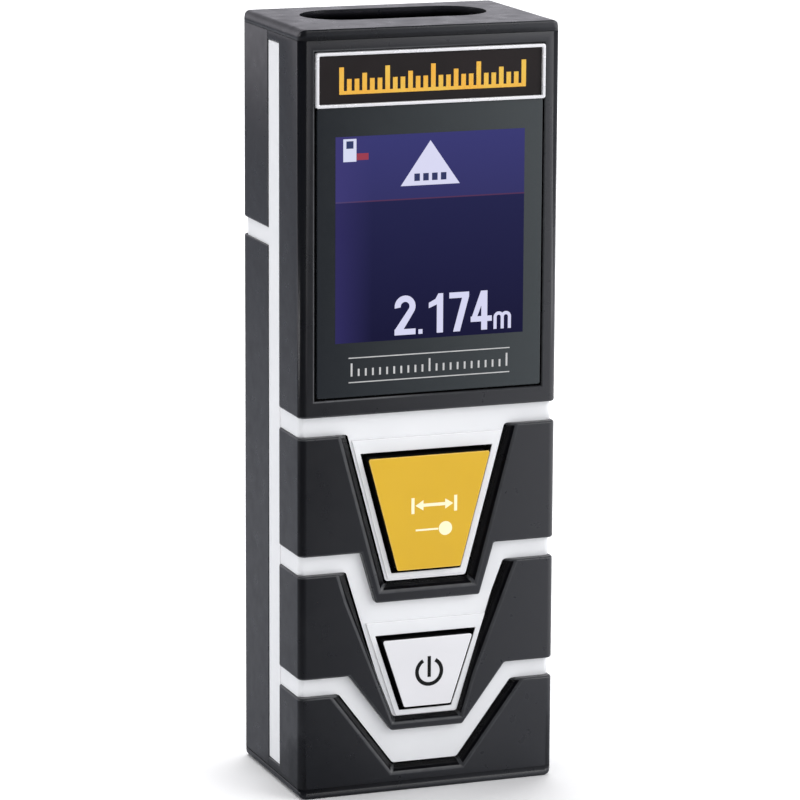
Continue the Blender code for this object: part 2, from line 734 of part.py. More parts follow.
def battery_cover(materials):
    """A flat door that hooks in at its lower edge, with a snap tongue at its upper edge."""
    cover = box("battery_cover", (-COVER_HALF, deep(DEPTH - COVER_THICKNESS), COVER_BOTTOM),
                (COVER_HALF, deep(DEPTH), COVER_TOP), materials["black_rubber"])
    pivot = Vector((0, deep(DEPTH), COVER_BOTTOM))
    cover.data.transform(Matrix.Translation(cover.location - pivot))
    cover.location = pivot
    round_edges(cover, COVER_EDGE)
    for side in (-1, 1):
        middle = side * TAB_X
        join(cover, box(f"cover_tab_{side}", (middle - TAB_HALF, deep(TAB_FRONT), TAB_BOTTOM),
                        (middle + TAB_HALF, deep(TAB_BACK), COVER_BOTTOM + OVERRUN)))
        slit_at = side * TONGUE_X
        cut(cover, box(f"tongue_slit_{side}",
                       (slit_at - TONGUE_SLIT / 2, deep(0), COVER_TOP - TONGUE_LENGTH),
                       (slit_at + TONGUE_SLIT / 2, deep(DEPTH + REACH), COVER_TOP + REACH)))
    thumb_y = deep(DEPTH + THUMB_CENTRE_OUT)
    thumb_z = COVER_TOP - THUMB_BELOW_TOP
    cut(cover, rod("thumb_notch", (-THUMB_HALF, thumb_y, thumb_z), (THUMB_HALF, thumb_y, thumb_z),
                   THUMB_RADIUS))
    return cover


# ---------------------------------------------------------------- display and keys

def display_window(materials):
    window = box("display_window", (-WINDOW_HALF + GAP, deep(0), WINDOW_BOTTOM + GAP),
                 (WINDOW_HALF - GAP, deep(GRIP_THICKNESS), BADGE_BOTTOM - GAP),
                 materials["dark_window"])
    round_edges(window, WINDOW_EDGE, 1)
    return window


def badge(materials):
    """The dark plate above the display and the bright frame around it."""
    half = WINDOW_HALF - GAP
    top = WINDOW_TOP - GAP
    inner = half - BADGE_RING
    frame = prism("badge_frame", [
        rectangle(-half, half, BADGE_BOTTOM, top),
        rectangle(-inner, inner, BADGE_BOTTOM + BADGE_RING, top - BADGE_RING)],
        "Y", deep(-KEY_RISE), deep(GRIP_THICKNESS), materials["chrome_trim"])
    frame.data.shade_flat()
    plate_half = inner - GAP
    box("badge_plate", (-plate_half, deep(BADGE_SINK), BADGE_BOTTOM + BADGE_RING + GAP),
        (plate_half, deep(GRIP_THICKNESS), top - BADGE_RING - GAP), materials["badge_black"])


def key_cap(name, outline, rise, material):
    cap = prism(name, [outline(0.0)], "Y", deep(-rise), deep(CAP_DEPTH - rise), material)
    round_edges(cap, CAP_EDGE)
    return cap


def key_plunger(name, outline, rise, middle_height, material):
    """The rubber stem under a key cap, with a flange that stops behind the front wall."""
    neck_end = CORE_FRONT + WALL + GAP
    plunger = prism(name, [outline(-PLUNGER_INSET)], "Y", deep(CAP_DEPTH - rise + GAP),
                    deep(neck_end + FLANGE_THICKNESS / 2), material)
    join(plunger, prism(name + "_flange", [outline(KEY_GAP + FLANGE_SPREAD)], "Y",
                        deep(neck_end), deep(neck_end + FLANGE_THICKNESS)))
    join(plunger, rod(name + "_pin", (0, deep(neck_end), middle_height),
                      (0, deep(PLUNGER_END), middle_height), PIN_RADIUS, sides=16))
    return plunger


def tact_switch(name, height, materials):
    switch = box(name, (-SWITCH_HALF, deep(SWITCH_FRONT), height - SWITCH_HALF),
                 (SWITCH_HALF, deep(BOARD_FACE - GAP), height + SWITCH_HALF),
                 materials["switch_metal"])
    join(switch, rod(name + "_button", (0, deep(BUTTON_FRONT), height),
                     (0, deep(SWITCH_FRONT + OVERRUN), height), BUTTON_RADIUS, sides=16))


def keys(materials):
    power_rise = KEY_RISE - POWER_SINK
    key_cap("measure_key_cap", measure_outline, KEY_RISE, materials["yellow_plastic"])
    key_cap("power_key_cap", power_outline, power_rise, materials["grey_plastic"])
    key_plunger("measure_key_plunger", measure_outline, KEY_RISE, MEASURE_MIDDLE,
                materials["black_rubber"])
    key_plunger("power_key_plunger", power_outline, power_rise, POWER_MIDDLE,
                materials["black_rubber"])
    tact_switch("measure_switch", MEASURE_MIDDLE, materials)
    tact_switch("power_switch", POWER_MIDDLE, materials)


def ribbon_outline(start, turn_radius, end_depth, tail, thickness, steps=8):
    """A flat cable seen from the side: straight down, around a quarter bend, then inward."""
    start_depth, start_height = start
    outer = []
    inner = []
    center_height = start_height - tail
    for step in range(steps + 1):
        angle = math.radians(180 + 90 * step / steps)
        for points, radius in ((outer, turn_radius + thickness / 2),
                               (inner, turn_radius - thickness / 2)):
            points.append((start_depth + turn_radius + radius * math.cos(angle),
                           center_height + radius * math.sin(angle)))
    half = thickness / 2
    outer = [(start_depth - half, start_height)] + outer
    inner = [(start_depth + half, start_height)] + inner
    outer.append((end_depth, outer[-1][1]))
    inner.append((end_depth, inner[-1][1]))
    return outer + inner[::-1]


def display_module(materials):
    panel = box("lcd_panel", (-LCD_HALF, deep(LCD_FRONT), LCD_BOTTOM),
                (LCD_HALF, deep(LCD_BACK), LCD_TOP), materials["lcd_glass"])
    round_edges(panel, PANEL_EDGE, 1)
    half = LCD_HALF + BACKLIGHT_MARGIN
    backlight = box("lcd_backlight", (-half, deep(LCD_BACK + GAP), LCD_BOTTOM - BACKLIGHT_MARGIN),
                    (half, deep(BOARD_FACE - GAP), LCD_TOP + BACKLIGHT_MARGIN),
                    materials["grey_plastic"])
    round_edges(backlight, BACKLIGHT_EDGE, 1)
    outline = ribbon_outline((CABLE_DEPTH, LCD_BOTTOM - GAP), CABLE_TURN, BOARD_FACE - GAP,
                             CABLE_TAIL, CABLE_THICKNESS)
    prism("lcd_cable", [[(deep(depth), height) for depth, height in outline]], "X",
          -CABLE_HALF, CABLE_HALF, materials["cable_orange"])


# ---------------------------------------------------------------- electronics and optics

def electronics(materials):
    box("main_board", (-BOARD_HALF, deep(BOARD_FACE), BOARD_BOTTOM),
        (BOARD_HALF, deep(BOARD_FACE + BOARD_THICKNESS), BOARD_TOP), materials["green_board"])
    chip_x, chip_z = CHIP_CORNER
    chip = box("controller_chip", (chip_x, deep(CHIP_FRONT), chip_z),
               (chip_x + CHIP_SIDE, deep(BOARD_FACE - GAP), chip_z + CHIP_SIDE),
               materials["chip_black"])
    round_edges(chip, PANEL_EDGE, 1)
    buzzer_x, buzzer_z = BUZZER_AT
    buzzer = rod("buzzer", (buzzer_x, deep(BUZZER_FRONT), buzzer_z),
                 (buzzer_x, deep(BOARD_FACE - GAP), buzzer_z), BUZZER_RADIUS,
                 materials["chip_black"], sides=32)
    cut(buzzer, rod("buzzer_port", (buzzer_x, deep(BUZZER_FRONT - OVERRUN), buzzer_z),
                    (buzzer_x, deep(BUZZER_FRONT + BUZZER_PORT_DEPTH), buzzer_z),
                    BUZZER_PORT_RADIUS, sides=16))


def lens(name, center_x, bottom, radius, edge, crown, material):
    """A plano-convex lens turned about its optical axis, domed upward."""
    mesh = bpy.data.meshes.new(name)
    bm = bmesh.new()
    steps = 6
    sphere = (radius * radius + crown * crown) / (2 * crown)
    half_angle = math.asin(radius / sphere)
    profile = []
    for step in range(steps + 1):
        angle = half_angle * step / steps
        profile.append((sphere * math.sin(angle), edge + crown - sphere * (1 - math.cos(angle))))
    profile.append((radius, 0.0))
    profile.append((0.0, 0.0))
    verts = [bm.verts.new((across, 0.0, height)) for across, height in profile]
    for first, second in zip(verts, verts[1:]):
        bm.edges.new((first, second))
    bm.to_mesh(mesh)
    bm.free()
    item = centred_object(name, mesh, (center_x, deep(OPTICS_DEPTH), bottom), material)
    turn = item.modifiers.new("turned", "SCREW")
    turn.axis = "Z"
    turn.steps = 32
    turn.render_steps = 32
    turn.use_merge_vertices = True
    turn.merge_threshold = 1e-6
    turn.use_smooth_shade = False
    return item


def optics(materials):
    front = deep(OPTICS_DEPTH - CHASSIS_REACH)
    back = deep(OPTICS_DEPTH + CHASSIS_REACH)
    chassis = box("optics_chassis", (-CHASSIS_HALF, front, CHASSIS_BOTTOM),
                  (CHASSIS_HALF, back, CHASSIS_SHOULDER), materials["chassis_black"])
    join(chassis, box("chassis_neck", (-CHASSIS_NECK_HALF, front, CHASSIS_SHOULDER - OVERRUN),
                      (CHASSIS_NECK_HALF, back, CHASSIS_TOP)))
    axis_y = deep(OPTICS_DEPTH)
    cut(chassis, rod("receiver_bore", (RECEIVER_X, axis_y, RECEIVER_FLOOR),
                     (RECEIVER_X, axis_y, HEIGHT), RECEIVER_BORE, sides=32))
    cut(chassis, rod("laser_bore", (LASER_X, axis_y, LASER_FLOOR), (LASER_X, axis_y, HEIGHT),
                     LASER_BORE))
    near, far = SENSOR_REACH
    sensor_top = SENSOR_LEVEL + SENSOR_THICKNESS
    slot_half = SENSOR_HALF + SENSOR_CLEARANCE
    cut(chassis, box("receiver_slot", (RECEIVER_X - slot_half, axis_y - near - SENSOR_CLEARANCE,
                                       SENSOR_LEVEL - SENSOR_CLEARANCE),
                     (RECEIVER_X + slot_half, deep(DEPTH), RECEIVER_FLOOR + OVERRUN)))
    rod("laser_module", (LASER_X, axis_y, LASER_FLOOR + OVERRUN), (LASER_X, axis_y, LASER_TOP),
        LASER_RADIUS, materials["brass"])
    glass = materials["lens_glass"]
    lens("collimator_lens", LASER_X, LASER_TOP + GAP, *COLLIMATOR, glass)
    lens("receiver_lens", RECEIVER_X, LASER_TOP, *RECEIVER_LENS, glass)
    board = box("receiver_board", (RECEIVER_X - SENSOR_HALF, axis_y - near, SENSOR_LEVEL),
                (RECEIVER_X + SENSOR_HALF, axis_y + far, sensor_top), materials["green_board"])
    join(board, rod("photodiode", (RECEIVER_X, axis_y, sensor_top - SENSOR_THICKNESS / 2),
                    (RECEIVER_X, axis_y, sensor_top + DIODE_HEIGHT), DIODE_RADIUS, sides=16))
    prism("optics_window", [stadium(0, deep(OPTICS_DEPTH), SLOT_LENGTH - 2 * GAP,
                                    SLOT_WIDTH - 2 * GAP)], "Z", *OPTICS_WINDOW,
          materials["dark_window"])


# ---------------------------------------------------------------- power

def battery_cell(name, center_x, bottom, nub_up, material):
    axis_y = deep(CELL_DEPTH)
    body_low = bottom if nub_up else bottom + NUB_LENGTH
    body_high = body_low + CELL_LENGTH - NUB_LENGTH
    cell = rod(name, (center_x, axis_y, body_low), (center_x, axis_y, body_high), CELL_RADIUS,
               material, sides=32)
    if nub_up:
        nub_low, nub_high = body_high - OVERRUN, body_high + NUB_LENGTH
    else:
        nub_low, nub_high = body_low - NUB_LENGTH, body_low + OVERRUN
    join(cell, rod(name + "_nub", (center_x, axis_y, nub_low), (center_x, axis_y, nub_high),
                   NUB_RADIUS, sides=20))


def contact_spring(name, center_x, bottom, widens_up, material):
    """A conical coil of wire between a contact and the flat end of a cell."""
    steps_per_turn = 12
    count = int(SPRING_TURNS * steps_per_turn)
    rise = SPRING_HEIGHT - SPRING_WIRE
    curve = bpy.data.curves.new(name, "CURVE")
    curve.dimensions = "3D"
    curve.bevel_depth = SPRING_WIRE / 2
    curve.bevel_resolution = 2
    curve.use_fill_caps = True
    spline = curve.splines.new("POLY")
    spline.points.add(count)
    for index, point in enumerate(spline.points):
        share = index / count
        angle = 2 * math.pi * SPRING_TURNS * share
        widening = share if widens_up else 1 - share
        radius = SPRING_SMALL + (SPRING_LARGE - SPRING_SMALL) * widening
        point.co = (radius * math.cos(angle), radius * math.sin(angle),
                    SPRING_WIRE / 2 + rise * share, 1.0)
    item = bpy.data.objects.new(name, curve)
    PARTS.objects.link(item)
    curve.materials.append(material)
    item.location = (center_x, deep(CELL_DEPTH), bottom)


def power_supply(materials):
    steel = materials["contact_steel"]
    clearance = GAP * 2 / 3
    lower_plate = BAY_BOTTOM + clearance
    upper_plate = BAY_TOP - clearance - CONTACT_THICKNESS
    plate_front = deep(CELL_DEPTH - CONTACT_REACH)
    plate_back = deep(CELL_DEPTH + CONTACT_REACH)
    plate_half = CELL_X + CONTACT_OVERHANG
    box("battery_bridge", (-plate_half, plate_front, lower_plate),
        (plate_half, plate_back, lower_plate + CONTACT_THICKNESS), steel)
    for name, side in (("battery_contact_plus", -1), ("battery_contact_minus", 1)):
        edges = sorted((side * CONTACT_SPLIT, side * plate_half))
        box(name, (edges[0], plate_front, upper_plate),
            (edges[1], plate_back, upper_plate + CONTACT_THICKNESS), steel)
    lower_rest = lower_plate + CONTACT_THICKNESS + GAP
    upper_rest = upper_plate - GAP
    contact_spring("battery_spring_lower", -CELL_X, lower_rest, False, steel)
    contact_spring("battery_spring_upper", CELL_X, upper_rest - SPRING_HEIGHT, True, steel)
    battery_cell("battery_cell_left", -CELL_X, upper_rest - CELL_LENGTH, True,
                 materials["cell_wrap"])
    battery_cell("battery_cell_right", CELL_X, lower_rest, False, materials["cell_wrap"])


def screws(materials):
    number = 0
    for height in SCREW_HEIGHTS:
        for side in (-1, 1):
            number += 1
            name = f"housing_screw_{number}"
            place = side * SCREW_X
            head_back = SCREW_HEAD_DEPTH + SCREW_HEAD_HEIGHT
            screw = rod(name, (place, deep(SCREW_HEAD_DEPTH), height),
                        (place, deep(head_back), height), SCREW_HEAD_RADIUS,
                        materials["screw_steel"])
            join(screw, rod(name + "_shank", (place, deep(SCREW_TIP), height),
                            (place, deep(SCREW_HEAD_DEPTH + OVERRUN), height), SCREW_RADIUS,
                            sides=16))
            for label, across, up in (("flat", CROSS_ARM, CROSS_HALF),
                                      ("tall", CROSS_HALF, CROSS_ARM)):
                cut(screw, box(f"{name}_{label}",
                               (place - across, deep(head_back - CROSS_DEPTH), height - up),
                               (place + across, deep(DEPTH), height + up)))


def build():
    start_scene()
    materials = make_materials()
    front_housing(materials)
    rear_housing(materials)
    display_bezel(materials)
    measure_grip(materials)
    power_grip(materials)
    lower_grip(materials)
    rear_grips(materials)
    top_cap(materials)
    base_cap(materials)
    battery_cover(materials)
    display_window(materials)
    badge(materials)
    keys(materials)
    display_module(materials)
    electronics(materials)
    optics(materials)
    power_supply(materials)
    screws(materials)


build()
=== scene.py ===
"""The finished look of a pocket laser distance meter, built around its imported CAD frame.

Shapes are worked out in millimetres in the frame's own axes and brought to metres when a piece is
placed. Depths are counted from the grip surface inward, along +Y. Heights and widths come from the
CAD nodes' boxes; the sizes named below are the moulding details that a box can't tell.
"""
import json
import math

import bmesh
import bpy
from mathutils import Matrix, Vector


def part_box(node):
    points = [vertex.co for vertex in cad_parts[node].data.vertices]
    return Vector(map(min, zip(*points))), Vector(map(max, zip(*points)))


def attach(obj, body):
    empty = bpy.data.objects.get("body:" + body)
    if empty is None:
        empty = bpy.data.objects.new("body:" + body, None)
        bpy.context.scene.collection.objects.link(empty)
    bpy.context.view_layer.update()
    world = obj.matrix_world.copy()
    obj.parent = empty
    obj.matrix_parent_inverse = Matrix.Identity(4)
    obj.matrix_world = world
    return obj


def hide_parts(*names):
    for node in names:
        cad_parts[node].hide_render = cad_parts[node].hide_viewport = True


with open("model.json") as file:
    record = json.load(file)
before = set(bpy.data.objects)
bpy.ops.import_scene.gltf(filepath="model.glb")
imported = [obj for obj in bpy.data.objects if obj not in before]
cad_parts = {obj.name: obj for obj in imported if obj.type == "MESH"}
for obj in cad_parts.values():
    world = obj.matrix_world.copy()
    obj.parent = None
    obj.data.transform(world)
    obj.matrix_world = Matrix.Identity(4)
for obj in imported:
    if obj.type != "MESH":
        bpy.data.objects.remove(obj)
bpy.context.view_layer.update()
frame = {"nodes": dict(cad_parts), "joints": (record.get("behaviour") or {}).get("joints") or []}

MM = 0.001

# ---- sizes from the frame, in mm


def node_box(node):
    """The lowest and highest corner of a CAD node, in mm."""
    low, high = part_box(node)
    return low / MM, high / MM


BEZEL_LOW, BEZEL_HIGH = node_box("display_bezel")
MEASURE_LOW, MEASURE_HIGH = node_box("measure_grip")
POWER_LOW, POWER_HIGH = node_box("power_grip")
_, LOWER_HIGH = node_box("lower_grip")
REAR_UPPER_LOW, REAR_UPPER_HIGH = node_box("rear_grip_upper")
_, REAR_LOWER_HIGH = node_box("rear_grip_lower")
CAP_LOW, CAP_HIGH = node_box("top_cap")
_, BASE_HIGH = node_box("base_cap")
SHELL_LOW, SHELL_HIGH = node_box("front_housing")
BADGE_LOW, _ = node_box("badge_frame")
_, COVER_HIGH = node_box("battery_cover")
OPTICS_LOW, OPTICS_HIGH = node_box("optics_window")

FRONT = BEZEL_LOW.y
BACK = REAR_UPPER_HIGH.y
TOP = CAP_HIGH.z
HALF = BEZEL_HIGH.x
DEPTH = BACK - FRONT
BAND_HALF = SHELL_HIGH.x  # the white bands and side stripes
PARTING = SHELL_HIGH.y - FRONT  # depth where the front shell ends
CAP_SEAM = CAP_LOW.z
BASE_SEAM = BASE_HIGH.z

# ---- moulding details, in mm

CORNER_RADIUS = 1.4  # upper corners seen from the front, and rear vertical edges
LOWER_CORNER_RADIUS = 1.0
FRONT_EDGE_RADIUS = 1.0
RIM_EDGE_RADIUS = 0.8  # front and rear edges of the top
FOOT_EDGE_RADIUS = 0.3  # and of the base
SEAM_OVERLAP = 0.05  # caps and grips run into each other, so no line shows
ROUND_STEPS = 8
GRIP_EDGE = 0.26  # rounding of a grip's cut edges
GRIP_WALL_RUN = 1.15  # how far the walls under the keys lean outward
SIDE_WALL_RUN = 1.4  # and the walls beside them
SINK = 0.05  # grips reach this far into the white shell
FAR = 60.0  # past everything
REACH = 5.0  # in front of everything
OVERRUN = 1.0  # how far a cutter or a joined block runs past a face
NEAR = 0.02  # an edge this close to a plane lies on it
MERGED = 0.002  # points this close are one
WHITE_DEPTH = 1.05  # the white surface behind the grips
CORE_HALF = 16.45
CORE_BACK = DEPTH - WHITE_DEPTH
FOOT_GAP = 1.0  # from the CAD housing's foot to the white front shell's
FLOOR_GAP = 1.5  # and to the hollow inside both shells
RIB_ROUNDING = 0.8  # the white bands' upright edges
SHELL_EDGE = 0.09  # rounding of the white shells' edges
DOOR_DETAIL_EDGE = 0.08  # and of the door's slits, scoop and grooves
CAP_EDGE = 0.3
BASE_EDGE = 0.2
STRIPE_HALF = 17.5  # the side stripes stand a little behind the grips
STRIPE_FRONT = 8.2
STRIPE_BOTTOM = 2.6
STRIPE_TOP = 97.4

MEASURE_SLOPE = 0.267  # half width gained per height
POWER_SLOPE = 0.328
LOWER_SLOPE = 0.752
LOWER_FLOOR = 3.6  # lowest point of the lower notch's white floor
LOWER_FLOOR_HALF = 4.46
MIDDLE_BAND = 2.55  # heights of the white bands under the measuring and power grips
LOWER_BAND = 2.45
MEASURE_TONGUE = (9.15, 7.16)  # half widths at the grip's side edge and at the tongue's tip
POWER_TONGUE = (10.78, 4.92)
POCKET_REACH = 0.6  # a pocket's cutter runs on this far at front and back
POCKET_RISE = 2.0  # and this far above its grip
WINDOW_RETURN = 0.5  # edges deeper than this in the window opening stay sharp
LEANING = (-0.95, -0.2)  # how far a leaning wall's normal points forward
KEY_GAP = 0.55
KEY_RIM = 1.0  # from a key's hole to the foot of the grip's wall
RIM_WIDTH = 0.68
RIM_TOP_BAND = 1.8
RIM_RISE = 0.25
POWER_RIM_BOTTOM = 9.85
POWER_WALL_RUNS = (0.65, 0.6, 1.5)

WINDOW_HALF = 15.55
WINDOW_BOTTOM = 52.6
WINDOW_TOP = 97.2
GROOVE = 0.28  # the dark line around the window pane
PANE_CORNER = 0.3
PANE_EDGE = 0.1
PANE_DEPTH = 0.8
TRAY_DEPTHS = (0.82, 1.0)
TRAY_MARGIN = 0.1
BADGE_STRIP = 0.43
BADGE_GAP = 0.06
BADGE_EDGE = 0.12
BADGE_SINK = 0.05  # the badge's face lies this deep
BADGE_FACE_EDGE = 0.04
SCREEN_HALF = 12.8
SCREEN_BOTTOM = 59.9
SCREEN_TOP = 86.35
HEADER_BOTTOM = 78.0
LEFT_FADE = 5.0  # how far the tint at the screen's left edge reaches
PICTURE_ELEMENT = 0.12

SLOT_LENGTH = 25.0
SLOT_WIDTH = 11.0
OPTICS_DEPTH = 13.9
OPTICS_EDGE = 0.15
LINER_WALL = 0.3  # the slot's black liner
LINER_SINK = 0.02
PRINT = 0.02  # thickness of printed marks
KEY_FACE = 0.3  # thickness of a key's coloured plate
KEY_CORNER = 0.25
KEY_EDGE = 0.1
STEM_INSET = 0.08  # the black body is this much smaller than its plate
STEM_EDGE = 0.05
STEM_PIN = 0.35
PIN_RADIUS = 1.6
FLANGE_SPREAD = 0.8
FLANGE_THICKNESS = 0.8
SLEEVE_CORNER = 0.3
SLEEVE_FRONT = WHITE_DEPTH - 0.12
SLEEVE_STEP = 2.2  # depth where the sleeve closes in on the key
SLEEVE_SPREADS = (KEY_GAP + 0.03, KEY_GAP - 0.13, 0.06)  # outside, mouth and throat
COVER_GAP = 0.15
COVER_THICKNESS = 1.8
COVER_CORNER = 0.9
COVER_EDGE = 0.3
COVER_SEAT = 0.3  # room behind the cover
TAB_X = 7.5
TAB_HALF = 1.7
TAB_DEPTHS = (21.3, 22.0)
TAB_BELOW = 1.5  # how far the tabs reach past the hinge, down and up
TAB_ABOVE = 0.5
TAB_SLACK = 0.4
TAB_SLOT_DEPTH = 20.2
TAB_SLOT_HEIGHTS = (6.0, 9.8)
TONGUE_X = 5.0
TONGUE_LENGTH = 8.0
TONGUE_SLIT = 0.25  # half width
SCOOP_RADIUS = 3.4
SCOOP_RISE = 2.6  # the scoop's axis stands this far behind the cover
SCOOP_DROP = 3.0  # and this far under its top
SCOOP_HALF = 3.6
GROOVES = 4
GROOVE_HALF = 3.4
GROOVE_DEPTH = 0.28
GROOVE_DROP = 8.6  # the first groove's lower edge under the cover's top
GROOVE_HEIGHT = 0.5
GROOVE_PITCH = 1.1
SCREW_WELL = 2.35
WELL_STEP = 0.25  # the well is this much narrower in the white shell
SCREW_SEAT = 17.4
SCREW_HOLE = 1.2
POST_RADIUS = 2.7
POST_SINK = 0.5  # a post reaches this far into the back wall
WALL = 1.8
WALLED_HALF = CORE_HALF - WALL
WALLED_FRONT = WHITE_DEPTH + WALL
WALLED_TOP = 96.5
BAY_WALL = 1.4
BAY_HEADROOM = 2.0  # from the bay to the hollow above it
CONTACT_MARGIN = 0.9  # room in the bay beside the contacts
CELL_MARGIN = 0.4  # before the cells
BAY_END_MARGIN = 0.2  # and at their ends
PALE_END = 14.0  # the pale part of the cells' sleeves, from the bay's top down
HINGE_Z = next(j for j in frame["joints"] if j["name"] == "cover_hinge")["pos_m"][2] / MM

# ---- mesh building


def at(depth):
    """The Y of a depth behind the grip surface."""
    return FRONT + depth


def shown(name, data):
    """A new object in the scene."""
    item = bpy.data.objects.new(name, data)
    bpy.context.scene.collection.objects.link(item)
    return item


def meshed(bm, name="shape"):
    mesh = bpy.data.meshes.new(name)
    bm.to_mesh(mesh)
    bm.free()
    return shown(name, mesh)


def loft(sections):
    """A closed solid through outlines of equal length, each a list of points in space."""
    bm = bmesh.new()
    rings = [[bm.verts.new(point) for point in section] for section in sections]
    bm.faces.new(rings[0])
    bm.faces.new(rings[-1])
    count = len(rings[0])
    for near, far in zip(rings, rings[1:]):
        for i in range(count):
            bm.faces.new((near[i], near[(i + 1) % count], far[(i + 1) % count], far[i]))
    bmesh.ops.recalc_face_normals(bm, faces=bm.faces)
    return meshed(bm)


PLANES = {
    "X": lambda a, b, along: (along, a, b),  # outline in YZ
    "Y": lambda a, b, along: (a, along, b),  # outline in XZ
    "Z": lambda a, b, along: (a, b, along),  # outline in XY
}


def prism(outline, axis, start, end):
    in_space = PLANES[axis]
    return loft([[in_space(a, b, along) for a, b in outline] for along in (start, end)])


def block(low, high):
    return prism(rectangle(low[0], high[0], low[2], high[2]), "Y", low[1], high[1])


def rectangle(left, right, bottom, top):
    return [(left, bottom), (right, bottom), (right, top), (left, top)]


def arc(center, radius, start, end, steps):
    """Points along an arc, angles in degrees."""
    points = []
    for step in range(steps + 1):
        angle = math.radians(start + (end - start) * step / steps)
        points.append((center[0] + radius * math.cos(angle), center[1] + radius * math.sin(angle)))
    return points


def rounded(outline, radius, steps=5):
    """A convex outline with its corners rounded."""
    points = []
    count = len(outline)
    for i, corner in enumerate(outline):
        here = Vector(corner)
        before = (Vector(outline[i - 1]) - here).normalized()
        after = (Vector(outline[(i + 1) % count]) - here).normalized()
        half_angle = before.angle(after) / 2
        reach = radius / math.tan(half_angle)
        center = here + (before + after).normalized() * (radius / math.sin(half_angle))
        first = here + before * reach - center
        last = here + after * reach - center
        for step in range(steps + 1):
            direction = first.lerp(last, step / steps).normalized()
            points.append(tuple(center + direction * radius))
    return points


def stadium(grow, steps=20):
    """The outline of the optics slot, seen from above."""
    radius = SLOT_WIDTH / 2 + grow
    half = (SLOT_LENGTH - SLOT_WIDTH) / 2
    middle = at(OPTICS_DEPTH)
    return (arc((half, middle), radius, -90, 90, steps)
            + arc((-half, middle), radius, 90, 270, steps))


def circle(center, radius, steps=32):
    return arc(center, radius, 0, 360, steps)[:-1]


def bow(center, outer, inner, start, end, steps=16):
    """A bent stroke between two radii."""
    return arc(center, outer, start, end, steps) + arc(center, inner, end, start, steps)


def mirrored(points):
    """Close an outline from the points of its right half, top to bottom."""
    return points + [(-across, height) for across, height in reversed(points)]


def rounded_block(low, high, radii):
    """A block whose edges are rounded: radii gives the radius for an edge's direction and middle."""
    item = block(low, high)
    bm = bmesh.new()
    bm.from_mesh(item.data)
    weights = bm.edges.layers.float.new("bevel_weight_edge")
    middle_of_block = (Vector(low) + Vector(high)) / 2
    wanted = []
    for edge in bm.edges:
        first, second = edge.verts
        direction = (second.co - first.co).normalized()
        wanted.append(radii(direction, (second.co + first.co) / 2 - middle_of_block))
    for edge, radius in zip(bm.edges, wanted):
        edge[weights] = radius / max(wanted)
    bm.to_mesh(item.data)
    bm.free()
    bevel = item.modifiers.new("rounding", "BEVEL")
    bevel.width = max(wanted)
    bevel.segments = ROUND_STEPS
    bevel.limit_method = "WEIGHT"
    return bake(item)


def bake(item):
    """Replace the item's mesh by what its modifiers make of it."""
    evaluated = item.evaluated_get(bpy.context.evaluated_depsgraph_get())
    mesh = bpy.data.meshes.new_from_object(evaluated)
    item.modifiers.clear()
    item.data = mesh
    return item


def remove(item):
    bpy.data.objects.remove(item, do_unlink=True)


def combined(item, operation, helpers):
    for helper in helpers:
        modifier = item.modifiers.new(operation, "BOOLEAN")
        modifier.operation = operation
        modifier.object = helper
        modifier.solver = "EXACT"
    bake(item)
    for helper in helpers:
        remove(helper)
    return item


def cut(item, *helpers):
    return combined(item, "DIFFERENCE", helpers)


def join(item, *helpers):
    return combined(item, "UNION", helpers)


def keep(item, helper):
    return combined(item, "INTERSECT", [helper])


def soften(item, width, segments=3, leave=None, angle=28):
    """Round every sharp edge except those that leave() names.

    The new faces are marked as edge.
    """
    bm = bmesh.new()
    bm.from_mesh(item.data)
    bmesh.ops.remove_doubles(bm, verts=bm.verts, dist=MERGED)
    bmesh.ops.dissolve_limit(bm, angle_limit=math.radians(0.5), verts=bm.verts, edges=bm.edges)
    marks = bm.faces.layers.float.new("edge")
    sharp = []
    for edge in bm.edges:
        if len(edge.link_faces) != 2 or edge.calc_face_angle(0) < math.radians(angle):
            continue
        middle = (edge.verts[0].co + edge.verts[1].co) / 2
        if leave is None or not leave(middle):
            sharp.append(edge)
    made = bmesh.ops.bevel(bm, geom=sharp, offset=width, offset_type="OFFSET", segments=segments,
                           profile=0.5, affect="EDGES", clamp_overlap=True)
    rounding = set(made["faces"])
    for face in bm.faces:
        face[marks] = float(face in rounding)
    bm.to_mesh(item.data)
    bm.free()
    return item


def place(item, name, material, body, slot, replaces=(), flat=False):
    """Name a shape, bring it to metres and let it ride on its CAD body."""
    item.name = name
    item.data.name = name
    item.data.transform(Matrix.Scale(MM, 4))
    item.data.materials.clear()
    item.data.materials.append(material)
    if flat:
        item.data.shade_flat()
    else:
        item.data.shade_smooth()
        normals = item.modifiers.new("weighted_normals", "WEIGHTED_NORMAL")
        normals.weight = 80
    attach(item, body)
    if replaces:
        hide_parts(*replaces)
    return item


# ---- materials


def new_material(name):
    material = bpy.data.materials.new(name)
    material.use_nodes = True
    tree = material.node_tree
    return material, tree, tree.nodes["Principled BSDF"], tree.nodes.new("ShaderNodeTexCoord")


def noise(tree, coords, size, detail=3.0):
    """Noise whose features are about size millimetres across."""
    node = tree.nodes.new("ShaderNodeTexNoise")
    node.inputs["Scale"].default_value = 1.0 / (size * MM)
    node.inputs["Detail"].default_value = detail
    tree.links.new(coords.outputs["Object"], node.inputs["Vector"])
    return node


def mixed(tree, factor, first, second):
    """A colour mix; first and second are colours or sockets."""
    node = tree.nodes.new("ShaderNodeMix")
    node.data_type = "RGBA"
    node.clamp_factor = True
    tree.links.new(factor, node.inputs["Factor"])
    for socket, value in ((node.inputs["A"], first), (node.inputs["B"], second)):
        if isinstance(value, tuple):
            socket.default_value = (*value, 1.0)
        else:
            tree.links.new(value, socket)
    return node.outputs["Result"]


